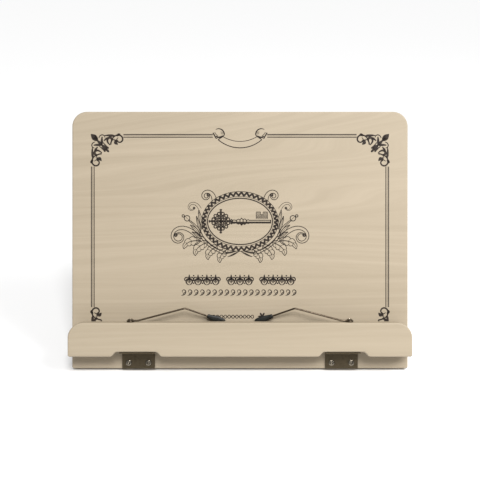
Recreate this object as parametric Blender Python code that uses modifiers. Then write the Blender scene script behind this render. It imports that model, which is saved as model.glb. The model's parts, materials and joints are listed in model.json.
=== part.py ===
"""A folding album stand: a back board that leans on a wire leg, with a fold-up ledge and two page clips.

Everything is modelled in the board's own frame first: X to the right, Y towards the back, Z up along the
board, with the origin at the middle of the back face's lower edge. The frame is then leaned back until the
board's lower edge and the leg's rubber feet stand on the ground, and set down with the world's origin under
the middle of the stand.
"""

import math

import bmesh
import bpy
from mathutils import Matrix, Vector

# ---------------------------------------------------------------- driving dimensions, in metres and degrees

# Clearances
SEAT_GAP = 0.0002  # between pieces that rest on each other
RUNNING_GAP = 0.00015  # round a pin or a rod that turns
STOP_GAP = 0.0003  # left where a moving piece comes to its stop

# Boards
BOARD_WIDTH = 0.340
BOARD_HEIGHT = 0.260
BOARD_THICKNESS = 0.009
LEDGE_WIDTH = 0.340
LEDGE_DEPTH = 0.0335  # from the edge at the hinges to the free edge
LEDGE_THICKNESS = 0.015
LEDGE_STANDOFF = 0.0045  # from the board's face to the closed ledge
CORNER_RADIUS = 0.015
EDGE_RADIUS = 0.0010

# Butt hinges of the ledge
HINGE_OFFSET = 0.1025  # each hinge's middle, from the stand's middle
HINGE_LENGTH = 0.033
LEAF_THICKNESS = 0.0011
BARREL_RADIUS = 0.0023
MIDDLE_KNUCKLE = 0.0165  # length of the ledge leaf's knuckle
KNUCKLE_GAP = 0.00025
LEAF_SCREW_SPACING = 0.020
LEAF_SCREW_REACH = 0.0112  # from the hinge's axis
NOTCH_MOUTH = 0.049  # width of the ledge's notch at the edge
NOTCH_ROOF = 0.041  # width of the notch at its end
NOTCH_RADIUS = 0.0022

# Page clips
CLIP_OFFSET = 0.109  # each clip's screw, from the stand's middle
CLIP_WIRE_RADIUS = 0.0009
CLIP_EYE_RADIUS = 0.0030  # of the wire's centre line
CLIP_LEVEL_RUN = 0.007  # from the screw to the first bend
CLIP_PEAK = (0.054, 0.0123)  # along the ledge and away from it, from the eye's middle
CLIP_ENTRY = (0.0762, 0.0041)  # where the wire enters its boot
CLIP_END = (0.0840, 0.0014)  # the end of the wire, inside its boot
CLIP_PEAK_STEP = 0.0030  # towards the board, from the screw
CLIP_ENTRY_STEP = 0.0080
CLIP_END_STEP = 0.0090
CLIP_FIRST_BEND = 0.012
CLIP_PEAK_BEND = 0.004
CLIP_ENTRY_BEND = 0.008
CLIP_EYE_OPEN_ANGLE = 30.0  # left open in the eye, at its side that faces the board
CLIP_EYE_STEPS = 20
CLIP_EYE_EXIT = 0.001  # from the screw to where the arm leaves the eye
BOOT_LENGTH = 0.0190
BOOT_WIDTH = 0.0068
BOOT_THICKNESS = 0.0032
BOOT_NECK = 0.0036  # diameter where the wire enters
BOOT_SIDES = 12
# Along the boot, as a share of its length: its width and its thickness.
BOOT_SECTIONS = (
    (0.0, BOOT_NECK, BOOT_NECK),
    (0.12, 1.1 * BOOT_NECK, BOOT_NECK),
    (0.5, BOOT_WIDTH, BOOT_THICKNESS),
    (0.85, 0.92 * BOOT_WIDTH, 0.92 * BOOT_THICKNESS),
    (1.0, 0.5 * BOOT_WIDTH, 0.5 * BOOT_THICKNESS),
)
BORE_LEAD_IN = 0.004  # the boot's bore starts this far before it

# Wire leg, its stay and the slotted rail
LEG_WIRE_RADIUS = 0.0020
LEG_LENGTH = 0.190  # from the sliding bar to the foot bar
LEG_TOP_HALF = 0.030
LEG_FOOT_HALF = 0.085
LEG_TOP_BEND = 0.010
LEG_FOOT_BEND = 0.012
STAY_LENGTH = 0.080  # between its two axes, and from the crossbar to the sliding bar
STAY_WIDTH = 0.032
STAY_THICKNESS = 0.0012
STAY_PIVOT_HEIGHT = 0.080
PIVOT_STANDOFF = 0.0080  # from the board's back to the stay's pin and the sliding bar
STAND_ANGLE = 35.0  # between the stay and the board, as the stand is shown
NOTCH_ANGLES = (15.0, 22.0, 29.0, 35.0, 42.0, 50.0)  # stay angles that the rail has a notch for
FOOT_RADIUS = 0.0040
FOOT_LENGTH = 0.034
FOOT_OFFSET = 0.050
FOOT_CHAMFER = 0.0005
RAIL_WIDTH = 0.052
RAIL_BASE = 0.0016
RAIL_WALL = 0.0016
RAIL_WALL_OFFSET = 0.0140  # from the middle to the middle of each wall
RAIL_MARGIN = 0.0085  # rail beyond each end of the slot
RAIL_SCREW_INSET = 0.0090
RAIL_WALL_INSET = 0.0030  # from the base's end to the wall's end
RAIL_WALL_OVER_SLOT = 0.0028  # wall left above the slot
SHEET_CORNER = 0.0040  # corner radius of the rail and the bracket
SHEET_ARC_STEP = 22.5
BRACKET_WIDTH = 0.060
BRACKET_HEIGHT = 0.020
BRACKET_BASE = 0.0014
EAR_THICKNESS = 0.0015
EAR_RADIUS = 0.0055
BRACKET_SCREW_OFFSET = 0.0240
PIN_HEAD_RADIUS = 0.0032
PIN_HEAD_LENGTH = 0.0012

# Screws
LEAF_SCREW_HEAD = 0.0031
PAN_SCREW_HEAD = 0.0030
PAN_HEAD_HEIGHT = 0.0014
SCREW_SHANK = 0.0014
SCREW_LENGTH = 0.0078
SCREW_POINT = 0.0018
HEAD_PROUD = 0.0003  # a countersunk head over its leaf
PILOT_GAP = 0.00015
HOLE_LEAD_IN = 0.002  # a screw's hole starts this far above its piece

# Finish of the meshes
SHARP_ANGLE = math.radians(35)  # edges sharper than this stay sharp
BEVEL_ANGLE = math.radians(40)  # edges sharper than this are rounded

# ---------------------------------------------------------------- what follows from them

LEDGE_INNER_Y = -(BOARD_THICKNESS + LEDGE_STANDOFF)
LEDGE_OUTER_Y = LEDGE_INNER_Y - LEDGE_THICKNESS
LEDGE_MIDDLE_Y = (LEDGE_INNER_Y + LEDGE_OUTER_Y) / 2
HINGE_Y = -(BOARD_THICKNESS + SEAT_GAP + BARREL_RADIUS)
# The opened ledge's underside is level with the board's lower edge.
HINGE_Z = HINGE_Y - LEDGE_OUTER_Y
LEDGE_BOTTOM_Z = HINGE_Z - BARREL_RADIUS - SEAT_GAP + STOP_GAP
LEDGE_TOP_Z = LEDGE_BOTTOM_Z + LEDGE_DEPTH
NOTCH_ROOF_Z = HINGE_Z + BARREL_RADIUS + SEAT_GAP
BORE_RADIUS = BARREL_RADIUS - LEAF_THICKNESS
HINGE_PIN_RADIUS = BORE_RADIUS - RUNNING_GAP
CLIP_PLANE_Z = LEDGE_TOP_Z + SEAT_GAP + CLIP_WIRE_RADIUS
SOCKET_RADIUS = LEG_WIRE_RADIUS + RUNNING_GAP
CURL_RADIUS = SOCKET_RADIUS + STAY_THICKNESS
LEG_SIDE_SLOPE = (LEG_FOOT_HALF - LEG_TOP_HALF) / LEG_LENGTH


def bar_height(stay_angle):
    """Height of the sliding bar. Stay and upper leg are equal sides of a triangle on the board."""
    return STAY_PIVOT_HEIGHT + 2 * STAY_LENGTH * math.cos(math.radians(stay_angle))


def lean_angle():
    """How far the board leans back, in radians: the ground touches its rounded lower edge and the feet."""
    angle = math.radians(STAND_ANGLE)
    foot_z = bar_height(STAND_ANGLE) - LEG_LENGTH * math.cos(angle)
    foot_y = PIVOT_STANDOFF + LEG_LENGTH * math.sin(angle)
    rise, run = foot_z - EDGE_RADIUS, foot_y + EDGE_RADIUS
    drop = (FOOT_RADIUS - EDGE_RADIUS) / math.hypot(rise, run)
    return math.acos(drop) - math.atan2(run, rise)


# ---------------------------------------------------------------- scene and object helpers


def clear_scene():
    for obj in list(bpy.data.objects):
        bpy.data.objects.remove(obj, do_unlink=True)


def new_collection(name):
    collection = bpy.data.collections.new(name)
    bpy.context.scene.collection.children.link(collection)
    return collection


def new_material(name, colour, roughness, metallic=0.0):
    material = bpy.data.materials.new(name)
    material.use_nodes = True
    shader = material.node_tree.nodes["Principled BSDF"]
    shader.inputs["Base Color"].default_value = (*colour, 1.0)
    shader.inputs["Roughness"].default_value = roughness
    shader.inputs["Metallic"].default_value = metallic
    return material


def place(obj, parent, location=(0, 0, 0), rotation=(0, 0, 0)):
    obj.parent = parent
    obj.location = location
    obj.rotation_euler = [math.radians(angle) for angle in rotation]
    return obj


def new_frame(name, parent=None, location=(0, 0, 0), rotation=(0, 0, 0)):
    """An empty that pieces are placed in, such as a joint's axis."""
    empty = bpy.data.objects.new(name, None)
    parts.objects.link(empty)
    return place(empty, parent, location, rotation)


def as_part(obj, material):
    """Makes an object a piece of the stand, smooth apart from its sharp edges."""
    parts.objects.link(obj)
    obj.data.materials.append(material)
    if obj.type == "MESH":
        obj.data.shade_smooth()
        obj.data.set_sharp_from_angle(angle=SHARP_ANGLE)
    return obj


def as_cutter(obj):
    """Makes an object a helper that only takes part in Booleans."""
    cutters.objects.link(obj)
    obj.hide_render = True
    obj.display_type = "WIRE"
    return obj


def boolean(obj, other, operation="DIFFERENCE"):
    modifier = obj.modifiers.new(f"{operation.lower()} {other.name}", "BOOLEAN")
    modifier.operation = operation
    modifier.object = other
    modifier.solver = "EXACT"


def round_edges(obj, width, segments=2):
    modifier = obj.modifiers.new("rounded edges", "BEVEL")
    modifier.width = width
    modifier.segments = segments
    modifier.limit_method = "ANGLE"
    modifier.angle_limit = BEVEL_ANGLE


# ---------------------------------------------------------------- shapes


def object_from(bm, name):
    mesh = bpy.data.meshes.new(name)
    bm.to_mesh(mesh)
    bm.free()
    return bpy.data.objects.new(name, mesh)


def box(name, low, high):
    bm = bmesh.new()
    bmesh.ops.create_cube(bm, size=1.0)
    low, high = Vector(low), Vector(high)
    bmesh.ops.scale(bm, vec=high - low, verts=bm.verts)
    bmesh.ops.translate(bm, vec=(high + low) / 2, verts=bm.verts)
    return object_from(bm, name)


# An exact quarter turn: each new coordinate is one of the old ones.
Z_TO_X = Matrix(((0, 0, -1, 0), (0, 1, 0, 0), (1, 0, 0, 0), (0, 0, 0, 1)))


def rod(name, radius, low_x, high_x, segments=24):
    """A cylinder along X."""
    bm = bmesh.new()
    bmesh.ops.create_cone(
        bm, cap_ends=True, segments=segments, radius1=radius, radius2=radius, depth=high_x - low_x
    )
    bmesh.ops.transform(bm, matrix=Z_TO_X, verts=bm.verts)
    bmesh.ops.translate(bm, vec=((low_x + high_x) / 2, 0, 0), verts=bm.verts)
    return object_from(bm, name)


def turned(name, profile, steps=16):
    """A profile of (radius, height) points, from top to bottom, turned about Z."""
    mesh = bpy.data.meshes.new(name)
    mesh.from_pydata(
        [(radius, 0, height) for radius, height in profile],
        [(i, i + 1) for i in range(len(profile) - 1)],
        [],
    )
    obj = bpy.data.objects.new(name, mesh)
    modifier = obj.modifiers.new("turned", "SCREW")
    modifier.steps = modifier.render_steps = steps
    modifier.use_merge_vertices = True
    modifier.merge_threshold = 0.00001
    return obj


def rounded_path(corners, radii, closed=False, arc_step=12.0):
    """Straight runs between corners, each corner replaced by an arc of its radius."""
    corners = [Vector(corner) for corner in corners]
    count = len(corners)
    points = []
    for i, corner in enumerate(corners):
        radius = radii[i]
        if radius == 0 or (not closed and i in (0, count - 1)):
            points.append(corner)
            continue
        back = (corners[i - 1] - corner).normalized()
        ahead = (corners[(i + 1) % count] - corner).normalized()
        half = back.angle(ahead) / 2
        centre = corner + (back + ahead).normalized() * (radius / math.sin(half))
        start = corner + back * (radius / math.tan(half))
        turn = math.pi - 2 * half
        steps = max(2, round(math.degrees(turn) / arc_step))
        first = (start - centre).normalized()
        second = -back
        for k in range(steps + 1):
            angle = turn * k / steps
            points.append(centre + (first * math.cos(angle) + second * math.sin(angle)) * radius)
    return points


def wire(name, points, radius, closed=False):
    """A round wire along a centre line, as a curve with filled ends."""
    curve = bpy.data.curves.new(name, "CURVE")
    curve.dimensions = "3D"
    spline = curve.splines.new("POLY")
    spline.points.add(len(points) - 1)
    for point, at in zip(spline.points, points):
        point.co = (*at, 1.0)
    spline.use_cyclic_u = closed
    curve.bevel_depth = radius
    curve.bevel_resolution = 3
    curve.use_fill_caps = not closed
    return bpy.data.objects.new(name, curve)


def mesh_from_curve(curve_object):
    """Turns a curve object into a mesh object of the same name, with its caps welded on."""
    name = curve_object.name
    cutters.objects.link(curve_object)
    bpy.context.view_layer.update()
    graph = bpy.context.evaluated_depsgraph_get()
    mesh = bpy.data.meshes.new_from_object(curve_object.evaluated_get(graph))
    bm = bmesh.new()
    bm.from_mesh(mesh)
    bmesh.ops.remove_doubles(bm, verts=bm.verts, dist=0.00001)
    bmesh.ops.dissolve_limit(bm, angle_limit=math.radians(1), verts=bm.verts, edges=bm.edges)
    bmesh.ops.recalc_face_normals(bm, faces=bm.faces)
    bpy.data.objects.remove(curve_object)
    bpy.data.meshes.remove(mesh)
    return object_from(bm, name)


def board(name, outline, low_y, high_y):
    """A flat board: an outline in X and Z, between two depths."""
    curve = bpy.data.curves.new(name, "CURVE")
    curve.dimensions = "2D"
    curve.fill_mode = "BOTH"
    curve.extrude = (high_y - low_y) / 2
    spline = curve.splines.new("POLY")
    spline.points.add(len(outline) - 1)
    for point, at in zip(spline.points, outline):
        point.co = (at.x, at.y, 0, 1)
    spline.use_cyclic_u = True
    flat = mesh_from_curve(bpy.data.objects.new(name, curve))
    for vertex in flat.data.vertices:
        x, z, depth = vertex.co
        vertex.co = (x, (low_y + high_y) / 2 - depth, z)
    return flat


# ---------------------------------------------------------------- screws


def countersunk_profile(gap):
    """Head flush with z = 0, apart from HEAD_PROUD. With a gap it is the hole for the screw."""
    head, shank = LEAF_SCREW_HEAD + gap, SCREW_SHANK + gap
    cone_end = -(head - shank)
    if gap:
        rim = [(0, HOLE_LEAD_IN), (head, HOLE_LEAD_IN)]
    else:
        rim = [(0, HEAD_PROUD), (0.7 * head, 0.9 * HEAD_PROUD)]
    body = [(head, 0), (shank, cone_end), (shank, SCREW_POINT - SCREW_LENGTH), (0, -SCREW_LENGTH - gap)]
    return rim + body


def pan_profile(gap, grip=0.0):
    """Head standing SEAT_GAP over z = 0, on a piece of thickness grip. With a gap it is the screw's hole."""
    shank = SCREW_SHANK + gap
    end = -grip - SCREW_LENGTH
    if gap:
        return [(0, HOLE_LEAD_IN), (shank, HOLE_LEAD_IN), (shank, end + SCREW_POINT), (0, end - gap)]
    head, top = PAN_SCREW_HEAD, SEAT_GAP + PAN_HEAD_HEIGHT
    crown = [
        (0, top),
        (0.55 * head, top - 0.12 * PAN_HEAD_HEIGHT),
        (0.88 * head, top - 0.45 * PAN_HEAD_HEIGHT),
    ]
    rim = [(head, top - 0.8 * PAN_HEAD_HEIGHT), (head, SEAT_GAP), (shank, SEAT_GAP)]
    return crown + rim + [(shank, end + SCREW_POINT), (0, end)]


def add_screw(name, parent, location, rotation, profile, through):
    """A screw, and a hole for it in each piece that it goes through."""
    screw = place(as_part(turned(name, profile(0)), steel), parent, location, rotation)
    hole = place(as_cutter(turned(f"{name} hole", profile(PILOT_GAP))), parent, location, rotation)
    for piece in through:
        boolean(piece, hole)
    return screw


# ---------------------------------------------------------------- boards


def add_back_board(parent):
    half = BOARD_WIDTH / 2
    corners = [(-half, 0), (half, 0), (half, BOARD_HEIGHT), (-half, BOARD_HEIGHT)]
    outline = rounded_path([(x, z, 0) for x, z in corners], (0, 0, CORNER_RADIUS, CORNER_RADIUS), closed=True)
    panel = place(as_part(board("back_board", outline, -BOARD_THICKNESS, 0), wood), parent)
    round_edges(panel, EDGE_RADIUS)
    return panel


def notch_corners(middle):
    """The ledge's notch for one hinge, from left to right."""
    mouth, roof = NOTCH_MOUTH / 2, NOTCH_ROOF / 2
    return [
        (middle - mouth, LEDGE_BOTTOM_Z),
        (middle - roof, NOTCH_ROOF_Z),
        (middle + roof, NOTCH_ROOF_Z),
        (middle + mouth, LEDGE_BOTTOM_Z),
    ]


def add_ledge(frame):
    """The ledge in its closed place, upright in front of the board. The frame is the hinge's axis."""
    half = LEDGE_WIDTH / 2
    notches = notch_corners(-HINGE_OFFSET) + notch_corners(HINGE_OFFSET)
    corners = [
        (-half, LEDGE_BOTTOM_Z),
        *notches,
        (half, LEDGE_BOTTOM_Z),
        (half, LEDGE_TOP_Z),
        (-half, LEDGE_TOP_Z),
    ]
    radii = [0] + [NOTCH_RADIUS] * len(notches) + [0, CORNER_RADIUS, CORNER_RADIUS]
    outline = rounded_path([(x, z, 0) for x, z in corners], radii, closed=True)
    ledge = as_part(board("ledge", outline, LEDGE_OUTER_Y, LEDGE_INNER_Y), wood)
    place(ledge, frame, -Vector((0, HINGE_Y, HINGE_Z)))
    round_edges(ledge, EDGE_RADIUS)
    return ledge


# ---------------------------------------------------------------- hinges


def hinge_leaf(name, reach, upwards, knuckles, reliefs):
    """A leaf along Z from its barrel's axis, which is X at the origin. Its back face touches the plane
    y = BARREL_RADIUS. knuckles and reliefs are spans along X, where it has a curl and where it makes room."""
    half = HINGE_LENGTH / 2
    low, high = (0, reach) if upwards else (-reach, 0)
    front = BARREL_RADIUS - LEAF_THICKNESS
    leaf = box(name, (-half, front, low), (half, BARREL_RADIUS, high))
    for number, (start, end) in enumerate(knuckles):
        boolean(leaf, as_cutter(rod(f"{name} curl {number}", BARREL_RADIUS, start, end)), "UNION")
    for number, (start, end) in enumerate(reliefs):
        boolean(leaf, as_cutter(rod(f"{name} relief {number}", BARREL_RADIUS + KNUCKLE_GAP, start, end)))
    boolean(leaf, as_cutter(rod(f"{name} bore", BORE_RADIUS, -2 * half, 2 * half)))
    return leaf


def move_cutters(leaf, frame):
    """Puts the Boolean helpers of a leaf in the leaf's frame."""
    for modifier in leaf.modifiers:
        if modifier.type == "BOOLEAN" and modifier.object.parent is None:
            place(modifier.object, frame)


def add_hinge(side, middle, board_frame, ledge_frame, panel, ledge):
    half = HINGE_LENGTH / 2
    inner = MIDDLE_KNUCKLE / 2
    outer_spans = [(-half, -inner), (inner, half)]
    middle_span = [(-inner + KNUCKLE_GAP, inner - KNUCKLE_GAP)]
    outer_reliefs = [(-half - KNUCKLE_GAP, -inner + KNUCKLE_GAP), (inner - KNUCKLE_GAP, half + KNUCKLE_GAP)]

    fixed = new_frame(f"hinge_{side} on the board", board_frame, (middle, HINGE_Y, HINGE_Z))
    board_leaf = hinge_leaf(
        f"hinge_{side}_board_leaf", HINGE_Z - STOP_GAP, False, outer_spans, [(-inner, inner)]
    )
    place(as_part(board_leaf, nickel), fixed)
    move_cutters(board_leaf, fixed)
    pin = rod(f"hinge_{side}_pin", HINGE_PIN_RADIUS, -half - SEAT_GAP, half + SEAT_GAP, 20)
    place(as_part(pin, nickel), fixed)

    moving = new_frame(f"hinge_{side} on the ledge", ledge_frame, (middle, 0, 0), (90, 0, 0))
    ledge_reach = HINGE_Y - LEDGE_OUTER_Y - STOP_GAP
    ledge_leaf = hinge_leaf(f"hinge_{side}_ledge_leaf", ledge_reach, True, middle_span, outer_reliefs)
    place(as_part(ledge_leaf, nickel), moving)
    move_cutters(ledge_leaf, moving)

    front = BARREL_RADIUS - LEAF_THICKNESS
    for number, sign in enumerate((-1, 1), start=1):
        x = sign * LEAF_SCREW_SPACING / 2
        for owner, frame, leaf, wooden, z in (
            ("board", fixed, board_leaf, panel, -LEAF_SCREW_REACH),
            ("ledge", moving, ledge_leaf, ledge, LEAF_SCREW_REACH),
        ):
            name = f"hinge_{side}_{owner}_screw_{number}"
            add_screw(name, frame, (x, front, z), (90, 0, 0), countersunk_profile, (leaf, wooden))


# ---------------------------------------------------------------- page clips


def clip_point(sign, along, step, rise=0.0):
    """A place on the clip, from its eye's middle. sign is the way to the stand's middle."""
    return Vector((sign * along, step, rise))


def clip_centre_line(sign):
    """From the eye's open end, round the screw, and out along the arm to the wire's end."""
    eye = []
    for k in range(CLIP_EYE_STEPS + 1):
        angle = math.radians(90 + (360 - CLIP_EYE_OPEN_ANGLE) * (1 - k / CLIP_EYE_STEPS))
        eye.append(clip_point(sign, CLIP_EYE_RADIUS * math.cos(angle), CLIP_EYE_RADIUS * math.sin(angle)))
    corners = [
        clip_point(sign, CLIP_EYE_EXIT, CLIP_EYE_RADIUS),
        clip_point(sign, CLIP_LEVEL_RUN, CLIP_EYE_RADIUS),
        clip_point(sign, CLIP_PEAK[0], CLIP_PEAK_STEP, CLIP_PEAK[1]),
        clip_point(sign, CLIP_ENTRY[0], CLIP_ENTRY_STEP, CLIP_ENTRY[1]),
        clip_point(sign, CLIP_END[0], CLIP_END_STEP, CLIP_END[1]),
    ]
    radii = (0, CLIP_FIRST_BEND, CLIP_PEAK_BEND, CLIP_ENTRY_BEND, 0)
    return eye + rounded_path(corners, radii, arc_step=6.0)


def clip_boot(name, entry, along):
    """A rubber boot over the wire's end, as rings across the line that it follows."""
    thin = Vector((0, 1, 0))
    thin = (thin - along * thin.dot(along)).normalized()
    wide = along.cross(thin)
    bm = bmesh.new()
    rings = []
    for share, width, thickness in BOOT_SECTIONS:
        middle = entry + along * (share * BOOT_LENGTH)
        ring = []
        for k in range(BOOT_SIDES):
            angle = 2 * math.pi * k / BOOT_SIDES
            offset = wide * (width / 2 * math.cos(angle)) + thin * (thickness / 2 * math.sin(angle))
            ring.append(bm.verts.new(middle + offset))
        rings.append(ring)
    for first, second in zip(rings, rings[1:]):
        for k in range(BOOT_SIDES):
            m = (k + 1) % BOOT_SIDES
            bm.faces.new((first[k], first[m], second[m], second[k]))
    bm.faces.new(rings[0])
    bm.faces.new(rings[-1])
    bmesh.ops.recalc_face_normals(bm, faces=bm.faces)
    return object_from(bm, name)


def add_clip(side, sign, ledge_frame, ledge):
    """A wire clip on its screw, with a rubber boot. sign is +1 for the clip whose arm points to +X."""
    pivot = (-sign * CLIP_OFFSET, LEDGE_MIDDLE_Y - HINGE_Y, CLIP_PLANE_Z - HINGE_Z)
    frame = new_frame(f"clip_{side} axis", ledge_frame, pivot)
    arm = wire(f"clip_{side}_wire", clip_centre_line(sign), CLIP_WIRE_RADIUS)
    place(as_part(arm, dark_steel), frame)

    entry = clip_point(sign, CLIP_ENTRY[0], CLIP_ENTRY_STEP, CLIP_ENTRY[1])
    wire_end = clip_point(sign, CLIP_END[0], CLIP_END_STEP, CLIP_END[1])
    along = (wire_end - entry).normalized()
    boot = clip_boot(f"clip_{side}_boot", entry, along)
    place(as_part(boot, rubber), frame)
    bore_line = [entry - along * BORE_LEAD_IN, wire_end + along * CLIP_WIRE_RADIUS]
    bore = mesh_from_curve(wire(f"{boot.name} bore", bore_line, CLIP_WIRE_RADIUS + PILOT_GAP))
    boolean(boot, place(as_cutter(bore), frame))
    # The underside, which presses on the page, is flat and level with the underside of the clip's eye.
    reach = CLIP_END[0] + BOOT_LENGTH
    floor = box(f"{boot.name} flat", (-reach, -reach, -BOOT_LENGTH), (reach, reach, -CLIP_WIRE_RADIUS))
    boolean(boot, place(as_cutter(floor), frame))

    head_seat = (pivot[0], pivot[1], pivot[2] + CLIP_WIRE_RADIUS)
    add_screw(
        f"clip_{side}_screw",
        ledge_frame,
        head_seat,
        (0, 0, 0),
        lambda gap: pan_profile(gap, grip=2 * CLIP_WIRE_RADIUS),
        (ledge,),
    )


# ---------------------------------------------------------------- rail, bracket, stay and leg


def slot_cutter(name, wall_x):
    """The slot that the leg's top bar slides in, with a notch towards the board at each stop."""
    radius = SOCKET_RADIUS
    span = RAIL_WALL
    low, high = bar_height(NOTCH_ANGLES[-1]), bar_height(0)
    slot = box(
        name, (wall_x - span, PIVOT_STANDOFF - radius, low), (wall_x + span, PIVOT_STANDOFF + radius, high)
    )
    as_cutter(slot)
    places = [(PIVOT_STANDOFF, low), (PIVOT_STANDOFF, high)]
    places += [(PIVOT_STANDOFF - LEG_WIRE_RADIUS, bar_height(angle)) for angle in NOTCH_ANGLES]
    for number, (y, z) in enumerate(places):
        end = rod(f"{name} round {number}", radius, wall_x - span, wall_x + span, 16)
        boolean(slot, place(as_cutter(end), None, (0, y, z)), "UNION")
    return slot


def rail_wall(name, wall_x, low_z, high_z):
    """One upright wall of the rail, with rounded outer corners."""
    height = PIVOT_STANDOFF + SOCKET_RADIUS + RAIL_WALL_OVER_SLOT
    corners = [(0, low_z, 0), (0, high_z, 0), (height, high_z, 0), (height, low_z, 0)]
    outline = rounded_path(corners, (0, 0, SHEET_CORNER, SHEET_CORNER), closed=True, arc_step=SHEET_ARC_STEP)
    wall = board(name, outline, wall_x - RAIL_WALL / 2, wall_x + RAIL_WALL / 2)
    for vertex in wall.data.vertices:
        y, x, z = vertex.co
        vertex.co = (x, y, z)
    wall.data.flip_normals()
    return wall


def add_rail(parent, panel):
    low_z = bar_height(NOTCH_ANGLES[-1]) - RAIL_MARGIN
    high_z = bar_height(0) + RAIL_MARGIN
    half = RAIL_WIDTH / 2
    base_top = SEAT_GAP + RAIL_BASE
    corners = [(-half, low_z, 0), (half, low_z, 0), (half, high_z, 0), (-half, high_z, 0)]
    outline = rounded_path(corners, (SHEET_CORNER,) * 4, closed=True, arc_step=SHEET_ARC_STEP)
    rail = place(as_part(board("notched_rail", outline, SEAT_GAP, base_top), plastic), parent)
    for number, sign in enumerate((-1, 1)):
        wall = rail_wall(
            f"rail wall {number}", sign * RAIL_WALL_OFFSET, low_z + RAIL_WALL_INSET, high_z - RAIL_WALL_INSET
        )
        place(as_cutter(wall), parent, (0, SEAT_GAP + RAIL_BASE / 2, 0))
        boolean(rail, wall, "UNION")
    for number, sign in enumerate((-1, 1)):
        slot = slot_cutter(f"rail slot {number}", sign * RAIL_WALL_OFFSET)
        place(slot, parent)
        for modifier in slot.modifiers:
            modifier.object.parent = parent
        boolean(rail, slot)
    number = 0
    for z in (low_z + RAIL_SCREW_INSET, high_z - RAIL_SCREW_INSET):
        for sign in (-1, 1):
            number += 1
            x = sign * (half + RAIL_WALL_OFFSET + RAIL_WALL / 2) / 2
            add_screw(
                f"rail_screw_{number}",
                parent,
                (x, base_top, z),
                (-90, 0, 0),
                lambda gap: pan_profile(gap),
                (rail, panel),
            )
    return rail


def add_bracket(parent, panel):
    """The bracket at the stay's foot: a base with two ears that hold the stay's pin."""
    half, tall = BRACKET_WIDTH / 2, BRACKET_HEIGHT / 2
    base_top = SEAT_GAP + BRACKET_BASE
    corners = [(-half, -tall, 0), (half, -tall, 0), (half, tall, 0), (-half, tall, 0)]
    outline = rounded_path(corners, (SHEET_CORNER,) * 4, closed=True, arc_step=SHEET_ARC_STEP)
    at_pivot = (0, 0, STAY_PIVOT_HEIGHT)
    bracket = place(as_part(board("stay_bracket", outline, SEAT_GAP, base_top), nickel), parent, at_pivot)
    pin_at = (0, PIVOT_STANDOFF, STAY_PIVOT_HEIGHT)
    inside = STAY_WIDTH / 2 + STOP_GAP
    outside = inside + EAR_THICKNESS
    for number, (start, end) in enumerate(((-outside, -inside), (inside, outside))):
        low = (start, SEAT_GAP + BRACKET_BASE / 2, -EAR_RADIUS)
        ear = box(f"bracket ear {number}", low, (end, PIVOT_STANDOFF, EAR_RADIUS))
        place(as_cutter(ear), parent, at_pivot)
        nose = rod(f"bracket nose {number}", EAR_RADIUS, start, end, 20)
        boolean(ear, place(as_cutter(nose), parent, pin_at), "UNION")
        boolean(bracket, ear, "UNION")
    hole = place(as_cutter(rod("bracket hole", SOCKET_RADIUS, -2 * outside, 2 * outside)), parent, pin_at)
    boolean(bracket, hole)

    end = outside + STOP_GAP
    pin = rod("stay_pin", LEG_WIRE_RADIUS, -end, end)
    place(as_part(pin, steel), parent, pin_at)
    for number, (start, stop) in enumerate(((-end - PIN_HEAD_LENGTH, -end), (end, end + PIN_HEAD_LENGTH))):
        head = rod(f"pin head {number}", PIN_HEAD_RADIUS, start, stop, 20)
        boolean(pin, place(as_cutter(head), parent, pin_at), "UNION")
    for number, sign in enumerate((-1, 1), start=1):
        at = (sign * BRACKET_SCREW_OFFSET, base_top, STAY_PIVOT_HEIGHT)
        add_screw(
            f"bracket_screw_{number}", parent, at, (-90, 0, 0), lambda gap: pan_profile(gap), (bracket, panel)
        )


def add_stay(frame):
    """A steel strip with a curl at each end, one round the bracket's pin and one round the leg's crossbar."""
    half = STAY_WIDTH / 2
    back = CURL_RADIUS
    stay = box("stay", (-half, back - STAY_THICKNESS, 0), (half, back, STAY_LENGTH))
    place(as_part(stay, nickel), frame)
    for number, z in enumerate((0, STAY_LENGTH)):
        curl = place(as_cutter(rod(f"stay curl {number}", CURL_RADIUS, -half, half)), frame, (0, 0, z))
        boolean(stay, curl, "UNION")
    for number, z in enumerate((0, STAY_LENGTH)):
        bore = rod(f"stay bore {number}", SOCKET_RADIUS, -2 * half, 2 * half)
        boolean(stay, place(as_cutter(bore), frame, (0, 0, z)))


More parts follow.
